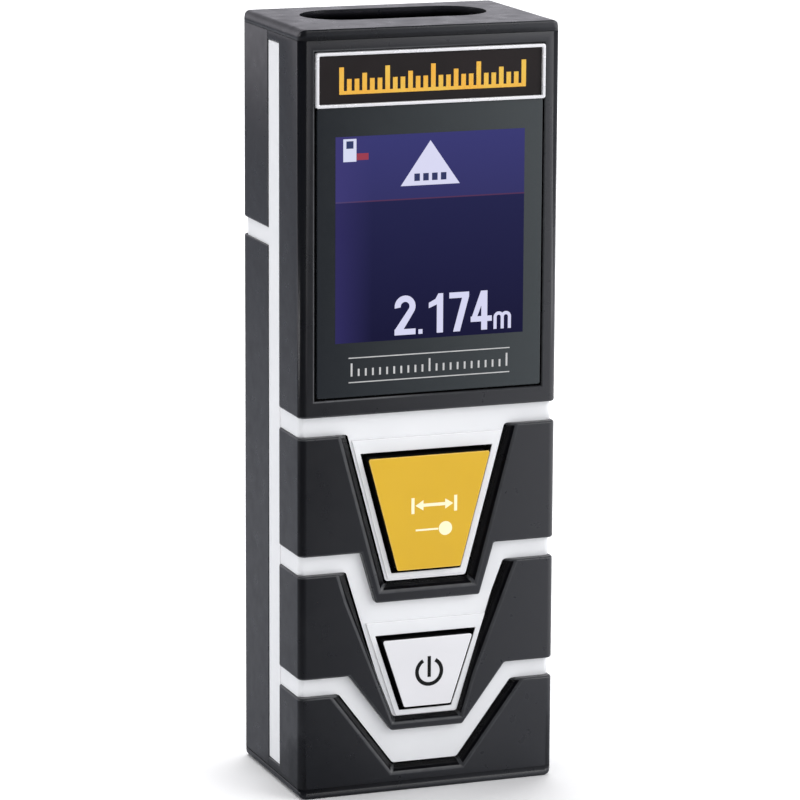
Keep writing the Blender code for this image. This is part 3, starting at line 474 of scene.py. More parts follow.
def ranged(tree, value, from_low, from_high, to_low=0.0, to_high=1.0):
    node = tree.nodes.new("ShaderNodeMapRange")
    for name, number in (("From Min", from_low), ("From Max", from_high),
                         ("To Min", to_low), ("To Max", to_high)):
        node.inputs[name].default_value = number
    tree.links.new(value, node.inputs["Value"])
    return node.outputs["Result"]


def product(tree, first, second):
    node = tree.nodes.new("ShaderNodeMath")
    node.operation = "MULTIPLY"
    tree.links.new(first, node.inputs[0])
    tree.links.new(second, node.inputs[1])
    return node.outputs["Value"]


def axis_of(tree, coords, axis):
    """One coordinate of the surface point, in metres."""
    node = tree.nodes.new("ShaderNodeSeparateXYZ")
    tree.links.new(coords.outputs["Object"], node.inputs["Vector"])
    return node.outputs[axis]


def marked(tree, attribute):
    """One where a mesh's faces carry a mark, and nought elsewhere."""
    node = tree.nodes.new("ShaderNodeAttribute")
    node.attribute_name = attribute
    return node.outputs["Fac"]


def moulded(name, color, shade, roughness, grain=(0.16, 0.006), blotch=9.0, edge_wear_and_highlight=None,
            metallic=0.0, specular=0.5, coat=0.0, painted_right_light=None):
    """A moulded or plated surface: blotchy colour, uneven gloss, fine grain, and lighter rounded edges
    that are part wear and part painted highlight.

    color and shade are mixed by large noise, roughness is its lowest and highest value, grain is the
    grain's size and height in mm. The edge colour is part wear and part painted highlight, and the
    colour toward the right-hand side is painted light.
    """
    material, tree, shader, coords = new_material(name)
    patches = noise(tree, coords, blotch)
    patch_factor = ranged(tree, patches.outputs["Fac"], 0.35, 0.65)
    base = mixed(tree, patch_factor, color, shade)
    smudges = noise(tree, coords, 2.2, 5.0)
    gloss = ranged(tree, smudges.outputs["Fac"], 0.3, 0.7, *roughness)
    shader.inputs["Specular IOR Level"].default_value = specular
    # Painted light: the colour turns lighter toward the right-hand side, standing in for the light that
    # falls there.
    if painted_right_light is not None:
        right = ranged(tree, axis_of(tree, coords, "X"), -HALF * MM, HALF * MM)
        base = mixed(tree, right, base, painted_right_light)
    # Rounded edges turn lighter in patches: part wear, part painted highlight.
    if edge_wear_and_highlight is not None:
        wear_and_highlight_noise = noise(tree, coords, 1.3, 4.0)
        wear_and_highlight_mask = product(tree, marked(tree, "edge"),
                         ranged(tree, wear_and_highlight_noise.outputs["Fac"], 0.2, 0.7, 0.35, 1.0))
        base = mixed(tree, wear_and_highlight_mask, base, edge_wear_and_highlight)
    tree.links.new(base, shader.inputs["Base Color"])
    tree.links.new(gloss, shader.inputs["Roughness"])
    grain_size, grain_height = grain
    texture = noise(tree, coords, grain_size, 2.0)
    bump = tree.nodes.new("ShaderNodeBump")
    bump.inputs["Strength"].default_value = 1.0
    bump.inputs["Distance"].default_value = grain_height * MM
    tree.links.new(texture.outputs["Fac"], bump.inputs["Height"])
    tree.links.new(bump.outputs["Normal"], shader.inputs["Normal"])
    shader.inputs["Metallic"].default_value = metallic
    shader.inputs["Coat Weight"].default_value = coat
    shader.inputs["Coat Roughness"].default_value = 0.06
    return material


def glowing(name, lower, upper, left_tint, low_z=SCREEN_BOTTOM, high_z=SCREEN_TOP, specular=0.08):
    """A lit part of the display: an emission that changes with height and towards its left edge,
    seen through the fine grid of its picture elements."""
    material, tree, shader, coords = new_material(name)
    across = axis_of(tree, coords, "X")
    height = axis_of(tree, coords, "Z")
    picture = mixed(tree, ranged(tree, height, low_z * MM, high_z * MM), lower, upper)
    edge = -SCREEN_HALF * MM
    side = ranged(tree, across, edge, edge + LEFT_FADE * MM, 1.0, 0.0)
    picture = mixed(tree, side, picture, left_tint)
    waves = []
    for along in (across, height):
        wave = tree.nodes.new("ShaderNodeMath")
        wave.operation = "PINGPONG"
        wave.inputs[1].default_value = PICTURE_ELEMENT / 2 * MM
        tree.links.new(along, wave.inputs[0])
        waves.append(ranged(tree, wave.outputs["Value"], 0.0, PICTURE_ELEMENT / 2 * MM, 0.9, 1.06))
    scaled = tree.nodes.new("ShaderNodeVectorMath")
    scaled.operation = "SCALE"
    tree.links.new(picture, scaled.inputs[0])
    tree.links.new(product(tree, *waves), scaled.inputs["Scale"])
    tree.links.new(scaled.outputs["Vector"], shader.inputs["Emission Color"])
    shader.inputs["Emission Strength"].default_value = 1.0
    shader.inputs["Base Color"].default_value = (0.003, 0.003, 0.006, 1.0)
    smudges = noise(tree, coords, 4.0, 4.0)
    tree.links.new(ranged(tree, smudges.outputs["Fac"], 0.3, 0.7, 0.14, 0.26),
                   shader.inputs["Roughness"])
    shader.inputs["Specular IOR Level"].default_value = specular
    return material


def opened(material):
    """The tree, shader, coordinates and base colour of a material that moulded() made."""
    tree = material.node_tree
    shader = tree.nodes["Principled BSDF"]
    coords = next(node for node in tree.nodes if node.type == "TEX_COORD")
    return tree, shader, coords, shader.inputs["Base Color"].links[0].from_socket


# The edge colours given below are lighter than their surfaces: part wear, part painted highlight.
WHITE = moulded("white_shell", (0.735, 0.745, 0.762), (0.71, 0.72, 0.738), (0.34, 0.46),
                grain=(0.14, 0.004), edge_wear_and_highlight=(0.84, 0.84, 0.86))
# Painted light: this black turns lighter toward the right-hand side.
BLACK = moulded("black_grip", (0.0040, 0.0045, 0.0065), (0.0060, 0.0065, 0.0085), (0.26, 0.35),
                grain=(0.16, 0.0045), edge_wear_and_highlight=(0.042, 0.044, 0.048), specular=0.45,
                painted_right_light=(0.028, 0.029, 0.033))
# Painted shade: a darker, less glossy black for the leaning walls around the keys, standing in for the
# shade they sit in.
SHADED_WALL_BLACK = moulded("grip_wall_painted_shade", (0.0015, 0.0015, 0.0025), (0.0025, 0.0025, 0.0035), (0.26, 0.35),
                    grain=(0.12, 0.006), specular=0.1)
KEY_BLACK = moulded("key_rubber", (0.006, 0.006, 0.007), (0.009, 0.009, 0.010), (0.5, 0.62),
                    grain=(0.12, 0.006), specular=0.3)
YELLOW = moulded("yellow_key", (0.638, 0.385, 0.006), (0.612, 0.365, 0.005), (0.36, 0.46),
                 grain=(0.12, 0.004), edge_wear_and_highlight=(0.86, 0.56, 0.10))
PALE = moulded("grey_key", (0.70, 0.70, 0.725), (0.67, 0.67, 0.695), (0.36, 0.46),
               grain=(0.12, 0.004), edge_wear_and_highlight=(0.86, 0.86, 0.88))
# Painted light: the pane turns lighter toward the right-hand side.
PANE = moulded("window_pane", (0.009, 0.011, 0.014), (0.011, 0.013, 0.016), (0.12, 0.18),
               grain=(3.0, 0.002), specular=0.4, painted_right_light=(0.036, 0.043, 0.046))
GROOVE_BLACK = moulded("groove", (0.002, 0.002, 0.002), (0.003, 0.003, 0.003), (0.7, 0.8),
                       specular=0.1)
SILVER = moulded("silver_trim", (0.82, 0.82, 0.84), (0.76, 0.76, 0.79), (0.20, 0.30),
                 grain=(0.3, 0.002), metallic=0.35, edge_wear_and_highlight=(0.84, 0.84, 0.86))
BADGE = moulded("badge_plate", (0.0125, 0.0085, 0.0085), (0.010, 0.007, 0.007), (0.30, 0.38),
                grain=(0.2, 0.003), specular=0.25)
BADGE_PRINT = moulded("badge_print", (0.72, 0.36, 0.025), (0.68, 0.42, 0.045), (0.34, 0.42),
                      blotch=3.0)
KEY_PRINT = moulded("key_print", (0.93, 0.84, 0.52), (0.90, 0.82, 0.56), (0.40, 0.50), blotch=2.0)
DARK_PRINT = moulded("dark_print", (0.004, 0.004, 0.004), (0.007, 0.007, 0.007), (0.40, 0.50),
                     blotch=2.0, specular=0.2)
PALE_PRINT = moulded("pale_print", (0.44, 0.44, 0.44), (0.50, 0.50, 0.50), (0.40, 0.50), blotch=2.0)
OPTICS_GLASS = moulded("optics_glass", (0.42, 0.34, 0.48), (0.36, 0.30, 0.46), (0.03, 0.06),
                       grain=(4.0, 0.002))
OPTICS_GLASS.node_tree.nodes["Principled BSDF"].inputs["Transmission Weight"].default_value = 0.9
SCREEN_FIELD = glowing("screen_field", (0.0062, 0.0060, 0.033), (0.0145, 0.0150, 0.067),
                       (0.027, 0.023, 0.108), high_z=HEADER_BOTTOM, specular=0.04)
SCREEN_HEADER = glowing("screen_header", (0.032, 0.031, 0.128), (0.040, 0.040, 0.170),
                        (0.046, 0.040, 0.170), low_z=HEADER_BOTTOM, specular=0.04)
SCREEN_LIT = glowing("screen_lit", (0.70, 0.70, 0.92), (0.72, 0.72, 0.92), (0.70, 0.74, 0.92))
SCREEN_DIVIDER = glowing("screen_divider", (0.085, 0.030, 0.085), (0.085, 0.030, 0.085),
                         (0.075, 0.055, 0.16))
SCREEN_RED = glowing("screen_red", (0.33, 0.045, 0.075), (0.33, 0.045, 0.075), (0.36, 0.05, 0.08))
SCREEN_DARK = glowing("screen_dark", (0.030, 0.030, 0.10), (0.030, 0.040, 0.12),
                      (0.030, 0.045, 0.13))

# ---- outlines


def key_outline(name, slope):
    """What gives a key's outline, narrowing downward and grown by spread square to its sides."""
    low, high = node_box(name + "_cap")

    def outline(spread=0.0):
        lean = spread * math.hypot(1.0, slope)
        bottom = low.z - spread
        top = high.z + spread
        bottom_half = high.x - slope * (high.z - bottom) + lean
        top_half = high.x + slope * spread + lean
        return [(-bottom_half, bottom), (bottom_half, bottom), (top_half, top), (-top_half, top)]
    return outline


measure_outline = key_outline("measure_key", MEASURE_SLOPE)
power_outline = key_outline("power_key", POWER_SLOPE)


def rim_outline(outline, slope):
    """The white rim around a key, wider above it."""
    extra = RIM_TOP_BAND - RIM_WIDTH
    (left, low), (right, _), (far_right, high), (far_left, _) = outline(KEY_GAP + RIM_WIDTH)
    return [(left, low), (right, low), (far_right + slope * extra, high + extra),
            (far_left - slope * extra, high + extra)]


def on_plane(outline, depth):
    return [(across, at(depth), height) for across, height in outline]


def pocket(half, half_at, slope, bottom, top, runs=(GRIP_WALL_RUN, SIDE_WALL_RUN, SIDE_WALL_RUN)):
    """The opening in a grip around a key, its walls leaning outward toward the front.

    runs are how far the walls lean under the key, beside its foot and beside its top.
    """
    under, beside_foot, beside_top = runs

    def section(depth):
        lean = 1 - depth / WHITE_DEPTH
        low = bottom - under * lean
        low_half = half - slope * (half_at - low) + beside_foot * lean
        top_half = half + slope * (top - half_at) + beside_top * lean
        return on_plane([(-low_half, low), (low_half, low), (top_half, top), (-top_half, top)],
                        depth)
    return loft([section(-POCKET_REACH), section(WHITE_DEPTH + POCKET_REACH)])


# ---- grips and caps


def overmould(item, name, cad, walls=False):
    """Place a grip or a cap, and paint shade on the leaning walls around a key with a darker, less
    glossy material.
    """
    place(item, name + "_overmould", BLACK, "meter", "black_grip", [cad])
    if walls:
        paint_wall_shade(item)


def paint_wall_shade(grip):
    """Paint shade on the walls that lean toward the front, away from the grip's sides and rounded
    edges, by giving them the darker wall material.
    """
    grip.data.materials.append(SHADED_WALL_BLACK)
    edges = grip.data.attributes["edge"].data
    for face in grip.data.polygons:
        inboard = abs(face.center.x) < (CORE_HALF - OVERRUN) * MM
        leaning = inboard and LEANING[0] < face.normal.y < LEANING[1]
        if leaning and not edges[face.index].value:
            face.material_index = 1


def envelope():
    """The whole outer form, which each grip and cap is a slice of."""
    def radii(direction, middle):
        upper = middle.z > TOP / 2
        if abs(direction.y) > 0.5:
            return CORNER_RADIUS if upper else LOWER_CORNER_RADIUS
        if abs(direction.x) > 0.5:
            return RIM_EDGE_RADIUS if upper else FOOT_EDGE_RADIUS
        return FRONT_EDGE_RADIUS if middle.y < 0 else CORNER_RADIUS
    return rounded_block((-HALF, FRONT, 0), (HALF, BACK, TOP), radii)


def core():
    """What the grips wrap around."""
    return block((-CORE_HALF + SINK, at(WHITE_DEPTH + SINK), -FAR),
                 (CORE_HALF - SINK, at(CORE_BACK - SINK), TOP + FAR))


def side_region(points):
    return prism([(at(depth), height) for depth, height in points], "X", -FAR, FAR)


def front_region(points):
    return prism(mirrored(points), "Y", FRONT - FAR, at(STRIPE_FRONT))


def display_bezel():
    top = CAP_SEAM + SEAM_OVERLAP
    bezel = keep(envelope(), side_region([
        (-FAR, BEZEL_LOW.z), (STRIPE_FRONT, BEZEL_LOW.z), (STRIPE_FRONT, STRIPE_TOP),
        (PARTING, STRIPE_TOP), (PARTING, top), (-FAR, top)]))
    cut(bezel, core(), block((-WINDOW_HALF, FRONT - FAR, WINDOW_BOTTOM),
                             (WINDOW_HALF, at(WHITE_DEPTH + OVERRUN), WINDOW_TOP)))

    def seam(middle):
        closed = middle.z > top - NEAR
        beside = middle.y > at(PARTING) - NEAR and middle.z > STRIPE_TOP + NEAR
        return closed or beside or abs(middle.x) < CORE_HALF and middle.y > at(WINDOW_RETURN)

    soften(bezel, GRIP_EDGE, leave=seam)
    overmould(bezel, "bezel", "display_bezel")


def inner_edge(middle):
    """Edges hidden against the white core stay sharp."""
    return abs(middle.x) < CORE_HALF + SINK and middle.y > at(WHITE_DEPTH - NEAR)


def key_grip(name, low, high, bottom, tongue, opening):
    """A grip whose tongue runs under a key, with the opening for the key's surround."""
    shoulder, tip = tongue
    grip = keep(envelope(), front_region([
        (FAR, high.z), (FAR, bottom), (shoulder, bottom), (tip, low.z)]))
    cut(grip, core(), opening)
    soften(grip, GRIP_EDGE, leave=inner_edge)
    overmould(grip, name, name + "_grip", walls=True)


def key_grips():
    (_, low), _, (half, high), _ = measure_outline(KEY_GAP + KEY_RIM)
    key_grip("measure", MEASURE_LOW, MEASURE_HIGH, POWER_HIGH.z + MIDDLE_BAND, MEASURE_TONGUE,
             pocket(half, high, MEASURE_SLOPE, low, MEASURE_HIGH.z + POCKET_RISE))
    _, _, (half, high), _ = power_outline(KEY_GAP + KEY_RIM)
    key_grip("power", POWER_LOW, POWER_HIGH, LOWER_HIGH.z + LOWER_BAND, POWER_TONGUE,
             pocket(half, high, POWER_SLOPE, POWER_RIM_BOTTOM, POWER_HIGH.z + POCKET_RISE,
                    POWER_WALL_RUNS))


def lower_grip():
    grip = keep(envelope(), side_region([
        (-FAR, BASE_SEAM), (PARTING, BASE_SEAM), (PARTING, STRIPE_BOTTOM),
        (STRIPE_FRONT, STRIPE_BOTTOM), (STRIPE_FRONT, LOWER_HIGH.z), (-FAR, LOWER_HIGH.z)]))
    cut(grip, core(), pocket(LOWER_FLOOR_HALF, LOWER_FLOOR, LOWER_SLOPE, LOWER_FLOOR,
                             LOWER_HIGH.z + POCKET_RISE))

    def seam(middle):
        beside = middle.y > at(PARTING) - NEAR and middle.z < STRIPE_BOTTOM - NEAR
        return inner_edge(middle) or middle.z < BASE_SEAM + NEAR or beside

    soften(grip, GRIP_EDGE, leave=seam)
    overmould(grip, "lower", "lower_grip", walls=True)


def end_caps():
    top = keep(envelope(), block((-FAR, -FAR, CAP_SEAM), (FAR, FAR, FAR + TOP)))
    cut(top, prism(stadium(0), "Z", CAP_SEAM - OVERRUN, TOP + OVERRUN))
    soften(top, CAP_EDGE, leave=lambda middle: middle.z < CAP_SEAM + NEAR)
    overmould(top, "top_cap", "top_cap")
    base = keep(envelope(), block((-FAR, -FAR, -FAR), (FAR, FAR, BASE_SEAM)))
    soften(base, BASE_EDGE, leave=lambda middle: middle.z > BASE_SEAM - NEAR)
    overmould(base, "base", "base_cap")


def screw_places():
    """The middle of each housing screw, as (x, height)."""
    for number in range(1, 5):
        low, high = node_box(f"housing_screw_{number}")
        yield (low.x + high.x) / 2, (low.z + high.z) / 2


def rear_grips():
    upper = keep(envelope(), side_region(rectangle(PARTING, FAR, REAR_UPPER_LOW.z,
                                                   CAP_SEAM + SEAM_OVERLAP)))
    lower = keep(envelope(), side_region(rectangle(PARTING, FAR, BASE_SEAM - SEAM_OVERLAP,
                                                   REAR_LOWER_HIGH.z)))
    cover_hole = prism(cover_outline(COVER_GAP), "Y", at(CORE_BACK - OVERRUN), BACK + OVERRUN)
    cut(upper, core(), *screw_wells(upper=True))
    cut(lower, core(), cover_hole, *screw_wells(upper=False))

    def seam(middle):
        hidden = abs(middle.x) < CORE_HALF and middle.y < at(CORE_BACK) + NEAR
        closed = middle.z > CAP_SEAM - NEAR or middle.z < BASE_SEAM + NEAR
        beside = middle.y < at(PARTING) + NEAR and not STRIPE_BOTTOM < middle.z < STRIPE_TOP
        return hidden or closed or beside

    soften(upper, GRIP_EDGE, leave=seam)
    soften(lower, GRIP_EDGE, leave=seam)
    overmould(upper, "rear_upper", "rear_grip_upper")
    overmould(lower, "rear_lower", "rear_grip_lower")


def screw_wells(upper):
    for across, height in screw_places():
        if (height > TOP / 2) == upper:
            yield prism(circle((across, height), SCREW_WELL), "Y", at(CORE_BACK - OVERRUN),
                        BACK + OVERRUN)


# ---- white housing


def bands():
    """Bottom and top of each white band on the front."""
    yield MEASURE_HIGH.z, BEZEL_LOW.z
    yield POWER_HIGH.z, POWER_HIGH.z + MIDDLE_BAND
    yield LOWER_HIGH.z, LOWER_HIGH.z + LOWER_BAND


def upright_radii(radius, side):
    def radii(direction, middle):
        return radius if abs(direction.z) > 0.5 and middle.y * side > 0 else 0.0
    return radii


def front_shell():
    shell = block((-CORE_HALF, at(WHITE_DEPTH), SHELL_LOW.z + FOOT_GAP),
                  (CORE_HALF, at(PARTING), CAP_SEAM))
    ribs = [rounded_block((-BAND_HALF, at(WHITE_DEPTH), low - SINK),
                          (BAND_HALF, at(STRIPE_FRONT + OVERRUN), high + SINK),
                          upright_radii(RIB_ROUNDING, -1)) for low, high in bands()]
    stripes = block((-STRIPE_HALF, at(STRIPE_FRONT - SINK), STRIPE_BOTTOM),
                    (STRIPE_HALF, at(PARTING), STRIPE_TOP))
    rims = [prism(rim_outline(outline, slope), "Y", at(WHITE_DEPTH - RIM_RISE),
                  at(WHITE_DEPTH + OVERRUN))
            for outline, slope in ((measure_outline, MEASURE_SLOPE), (power_outline, POWER_SLOPE))]
    join(shell, *ribs, stripes, *rims)
    behind_wall = at(WALLED_FRONT + OVERRUN)
    cut(shell,
        block((-WALLED_HALF, at(WALLED_FRONT), SHELL_LOW.z + FLOOR_GAP),
              (WALLED_HALF, FAR, WALLED_TOP)),
        prism(measure_outline(KEY_GAP), "Y", FRONT - REACH, behind_wall),
        prism(power_outline(KEY_GAP), "Y", FRONT - REACH, behind_wall),
        block((-SCREEN_HALF, FRONT - REACH, SCREEN_BOTTOM),
              (SCREEN_HALF, behind_wall, SCREEN_TOP)),
        prism(stadium(0), "Z", WALLED_TOP - OVERRUN, TOP))
    soften(shell, SHELL_EDGE, segments=2)
    place(shell, "front_shell", WHITE, "meter", "white_core", ["front_housing"])


def rear_shell():
    bay_low, bay_high = bay_box()
    inner_back = at(CORE_BACK - WALL)
    shell = block((-CORE_HALF, at(PARTING), SHELL_LOW.z), (CORE_HALF, at(CORE_BACK), CAP_SEAM))
    rib = rounded_block((-BAND_HALF, at(PARTING), REAR_LOWER_HIGH.z - SINK),
                        (BAND_HALF, at(CORE_BACK), REAR_UPPER_LOW.z + SINK),
                        upright_radii(RIB_ROUNDING, 1))
    join(shell, rib)
    cut(shell,
        block((-WALLED_HALF, FRONT, bay_high.z + BAY_HEADROOM),
              (WALLED_HALF, inner_back, WALLED_TOP)),
        block((-WALLED_HALF, FRONT, SHELL_LOW.z + FLOOR_GAP),
              (WALLED_HALF, inner_back, bay_low.z - BAY_WALL)))
    around = Vector((BAY_WALL, BAY_WALL, BAY_WALL))
    bay_back = Vector((bay_high.x, at(PARTING + OVERRUN) - BAY_WALL, bay_high.z))
    join(shell, block(bay_low - around, bay_back + around))
    spots = list(screw_places())
    join(shell, *[prism(circle(spot, POST_RADIUS), "Y", at(PARTING), at(CORE_BACK - POST_SINK))
                  for spot in spots])
    wells = []
    for spot in spots:
        wells.append(prism(circle(spot, SCREW_WELL - WELL_STEP), "Y", at(SCREW_SEAT),
                           BACK + OVERRUN))
        wells.append(prism(circle(spot, SCREW_HOLE), "Y", at(PARTING - OVERRUN), BACK))
    cut(shell, *wells)
    slot_half = TAB_HALF + TAB_SLACK
    tabs = [block((side * TAB_X - slot_half, at(TAB_SLOT_DEPTH), TAB_SLOT_HEIGHTS[0]),
                  (side * TAB_X + slot_half, BACK, TAB_SLOT_HEIGHTS[1])) for side in (-1, 1)]
    cut(shell, prism(stadium(0), "Z", WALLED_TOP - OVERRUN, TOP),
        block(bay_low, (bay_high.x, BACK, bay_high.z)),
        prism(cover_outline(COVER_GAP), "Y", at(DEPTH - COVER_THICKNESS - COVER_SEAT), BACK), *tabs)
    soften(shell, SHELL_EDGE, segments=2)
    place(shell, "rear_shell", WHITE, "meter", "white_core", ["rear_housing"])


def bay_box():
    """The room for the cells, from the contacts' boxes."""
    low = node_box("battery_bridge")[0]
    plus_low, _ = node_box("battery_contact_plus")
    _, minus_high = node_box("battery_contact_minus")
    cell_low, _ = node_box("battery_cell_left")
    return (Vector((plus_low.x - CONTACT_MARGIN, cell_low.y - CELL_MARGIN,
                    low.z - BAY_END_MARGIN)),
            Vector((minus_high.x + CONTACT_MARGIN, BACK, minus_high.z + BAY_END_MARGIN)))


# ---- battery door

def cover_outline(grow):
    outline = rectangle(-COVER_HIGH.x - grow, COVER_HIGH.x + grow, HINGE_Z - grow,
                        COVER_HIGH.z + grow)
    return rounded(outline, COVER_CORNER + grow)


def battery_door():
    inner = DEPTH - COVER_THICKNESS
    top = COVER_HIGH.z
    door = prism(cover_outline(0.0), "Y", at(inner), BACK)
    soften(door, COVER_EDGE)
    for side in (-1, 1):
        across = side * TAB_X
        join(door, block((across - TAB_HALF, at(TAB_DEPTHS[0]), HINGE_Z - TAB_BELOW),
                         (across + TAB_HALF, at(TAB_DEPTHS[1]), HINGE_Z + TAB_ABOVE)))
        slit = side * TONGUE_X
        cut(door, block((slit - TONGUE_SLIT, at(inner - OVERRUN), top - TONGUE_LENGTH),
                        (slit + TONGUE_SLIT, BACK + OVERRUN, top + OVERRUN)))
    grooves = []
    for step in range(GROOVES):
        bottom = top - GROOVE_DROP - GROOVE_PITCH * step
        grooves.append(block((-GROOVE_HALF, BACK - GROOVE_DEPTH, bottom),
                             (GROOVE_HALF, BACK + OVERRUN, bottom + GROOVE_HEIGHT)))
    scoop = circle((BACK + SCOOP_RISE, top - SCOOP_DROP), SCOOP_RADIUS, 48)
    cut(door, prism(scoop, "X", -SCOOP_HALF, SCOOP_HALF), *grooves)
    soften(door, DOOR_DETAIL_EDGE, segments=2, angle=50)
    place(door, "battery_door_panel", BLACK, "battery_door", "black_grip", ["battery_cover"])


# ---- keys


def key(name, outline, material, slot, marks, ink):
    """A key: a coloured face plate with marks on a black rubber body, in a black sleeve."""
    front = node_box(name + "_cap")[0].y
    stem_low, stem_high = node_box(name + "_plunger")
    face_back = front + KEY_FACE
    face = prism(rounded(outline(), KEY_CORNER), "Y", front, face_back)
    soften(face, KEY_EDGE)
    place(face, name + "_face", material, name, slot, [name + "_cap"])
    flange_back = stem_high.y - STEM_PIN
    pin = circle((0, (stem_low.z + stem_high.z) / 2), PIN_RADIUS)
    stem = prism(rounded(outline(-STEM_INSET), KEY_CORNER), "Y", face_back, flange_back)
    join(stem, prism(outline(KEY_GAP + FLANGE_SPREAD), "Y", flange_back - FLANGE_THICKNESS,
                     flange_back),
         prism(pin, "Y", flange_back - FLANGE_THICKNESS / 2, stem_high.y))
    soften(stem, STEM_EDGE, segments=2)
    place(stem, name + "_body", KEY_BLACK, name, "key_rubber", [name + "_plunger"])
    outside, mouth, throat = (rounded(outline(spread), SLEEVE_CORNER) for spread in SLEEVE_SPREADS)
    sleeve = prism(outside, "Y", at(SLEEVE_FRONT), at(WALLED_FRONT))
    cut(sleeve, prism(mouth, "Y", FRONT, at(SLEEVE_STEP)),
        prism(throat, "Y", FRONT, at(WALLED_FRONT + OVERRUN)))
    place(sleeve, name + "_sleeve", GROOVE_BLACK, "meter", "key_rubber")
    for number, mark in enumerate(marks):
        place(printed(mark, front), f"{name}_mark_{number}", ink, name, slot, flat=True)


def printed(outline, surface):
    """A thin printed or lit shape on a surface that faces the front."""
    return prism(outline, "Y", surface - PRINT, surface + PRINT)


def bar(center_x, center_z, width, height):
    return rectangle(center_x - width / 2, center_x + width / 2,
                     center_z - height / 2, center_z + height / 2)


def span_symbol(left, right, height, tall):
    """A distance between two end bars: an arrow pointing both ways."""
    stroke = 0.42
    head = 1.1  # an arrow head's length
    wing = 0.68  # and its half height
    tip = 0.55  # from an end bar's outer side to the arrow's tip
    upper = [(left + tip, height), (left + tip + head, height + wing),
             (left + tip + head, height + stroke / 2), (right - tip - head, height + stroke / 2),
             (right - tip - head, height + wing), (right - tip, height)]
    lower = [(across, 2 * height - up) for across, up in reversed(upper[1:-1])]
    return [bar(left + stroke / 2, height, stroke, tall), bar(right - stroke / 2, height, stroke, tall),
            upper + lower]


def keys():
    shot = 34.8  # height of the laser pictogram: a line that ends in a dot
    marks = [*span_symbol(-2.5, 3.8, 38.05, 2.1), bar(-0.35, shot, 3.1, 0.24),
             circle((2.2, shot), 0.92)]
    key("measure_key", measure_outline, YELLOW, "yellow_key", marks, KEY_PRINT)
    center = (0.2, 15.75)
    ring = bow(center, 1.95, 1.45, 120, 420, 40)
    stroke = bar(center[0], 16.4, 0.46, 2.8)
    key("power_key", power_outline, PALE, "grey_key", [ring, stroke], DARK_PRINT)


# ---- display and badge


def flat_mark(name, outline, surface, material, slot="display_glass"):
    place(printed(outline, surface), name, material, "meter", slot, flat=True)


def strokes(name, outlines, surface):
    """A lit figure put together from its strokes."""
    first, *others = [printed(outline, surface) for outline in outlines]
    if others:
        join(first, *others)
    place(first, name, SCREEN_LIT, "meter", "lcd", flat=True)


def reading(surface):
    """The measured distance, 2.174 m, in upright figures."""
    foot = 60.5
    head = 65.6
    bar_top = foot + 0.75
    bowl = 1.42  # outer radius of the two's bow
    hollow = 0.6
    turn = -38  # where the bow runs into the slant
    center = (-3.38, head - bowl)
    ends = [arc(center, radius, turn, turn, 1)[0] for radius in (bowl, hollow)]
    strokes("reading_two", [bow(center, bowl, hollow, 188, turn),
                            [ends[0], (-3.62, bar_top - 0.1), (-4.8, bar_top - 0.1), ends[1]],
                            rectangle(-4.8, -1.95, foot, bar_top)], surface)
    strokes("reading_point", [rectangle(-1.55, -1.0, foot, foot + 0.6)], surface)
    strokes("reading_one", [[(0.95, foot), (1.8, foot), (1.8, head), (1.15, head), (0.75, 64.9),
                             (-0.15, 64.45), (-0.15, 63.75), (0.95, 64.2)]], surface)
    strokes("reading_seven", [[(3.2, foot), (4.12, foot), (5.35, 65.0), (5.35, head), (2.65, head),
                               (2.65, head - 0.75), (4.4, head - 0.75)]], surface)
    strokes("reading_four", [rectangle(7.05, 7.87, foot, head), rectangle(5.6, 8.5, 61.6, 62.3),
                             [(5.6, 61.8), (6.3, 61.8), (7.8, head), (6.98, head)]], surface)
    top = 62.75
    outer = 0.705  # radius of the m's arches
    inner = 0.285
    stems = [rectangle(left, left + outer - inner, foot, top - outer) for left in (8.75, 9.74, 10.73)]
    arches = [bow((middle, top - outer), outer, inner, 0, 180) for middle in (9.455, 10.445)]
    strokes("reading_unit", stems + arches, surface)


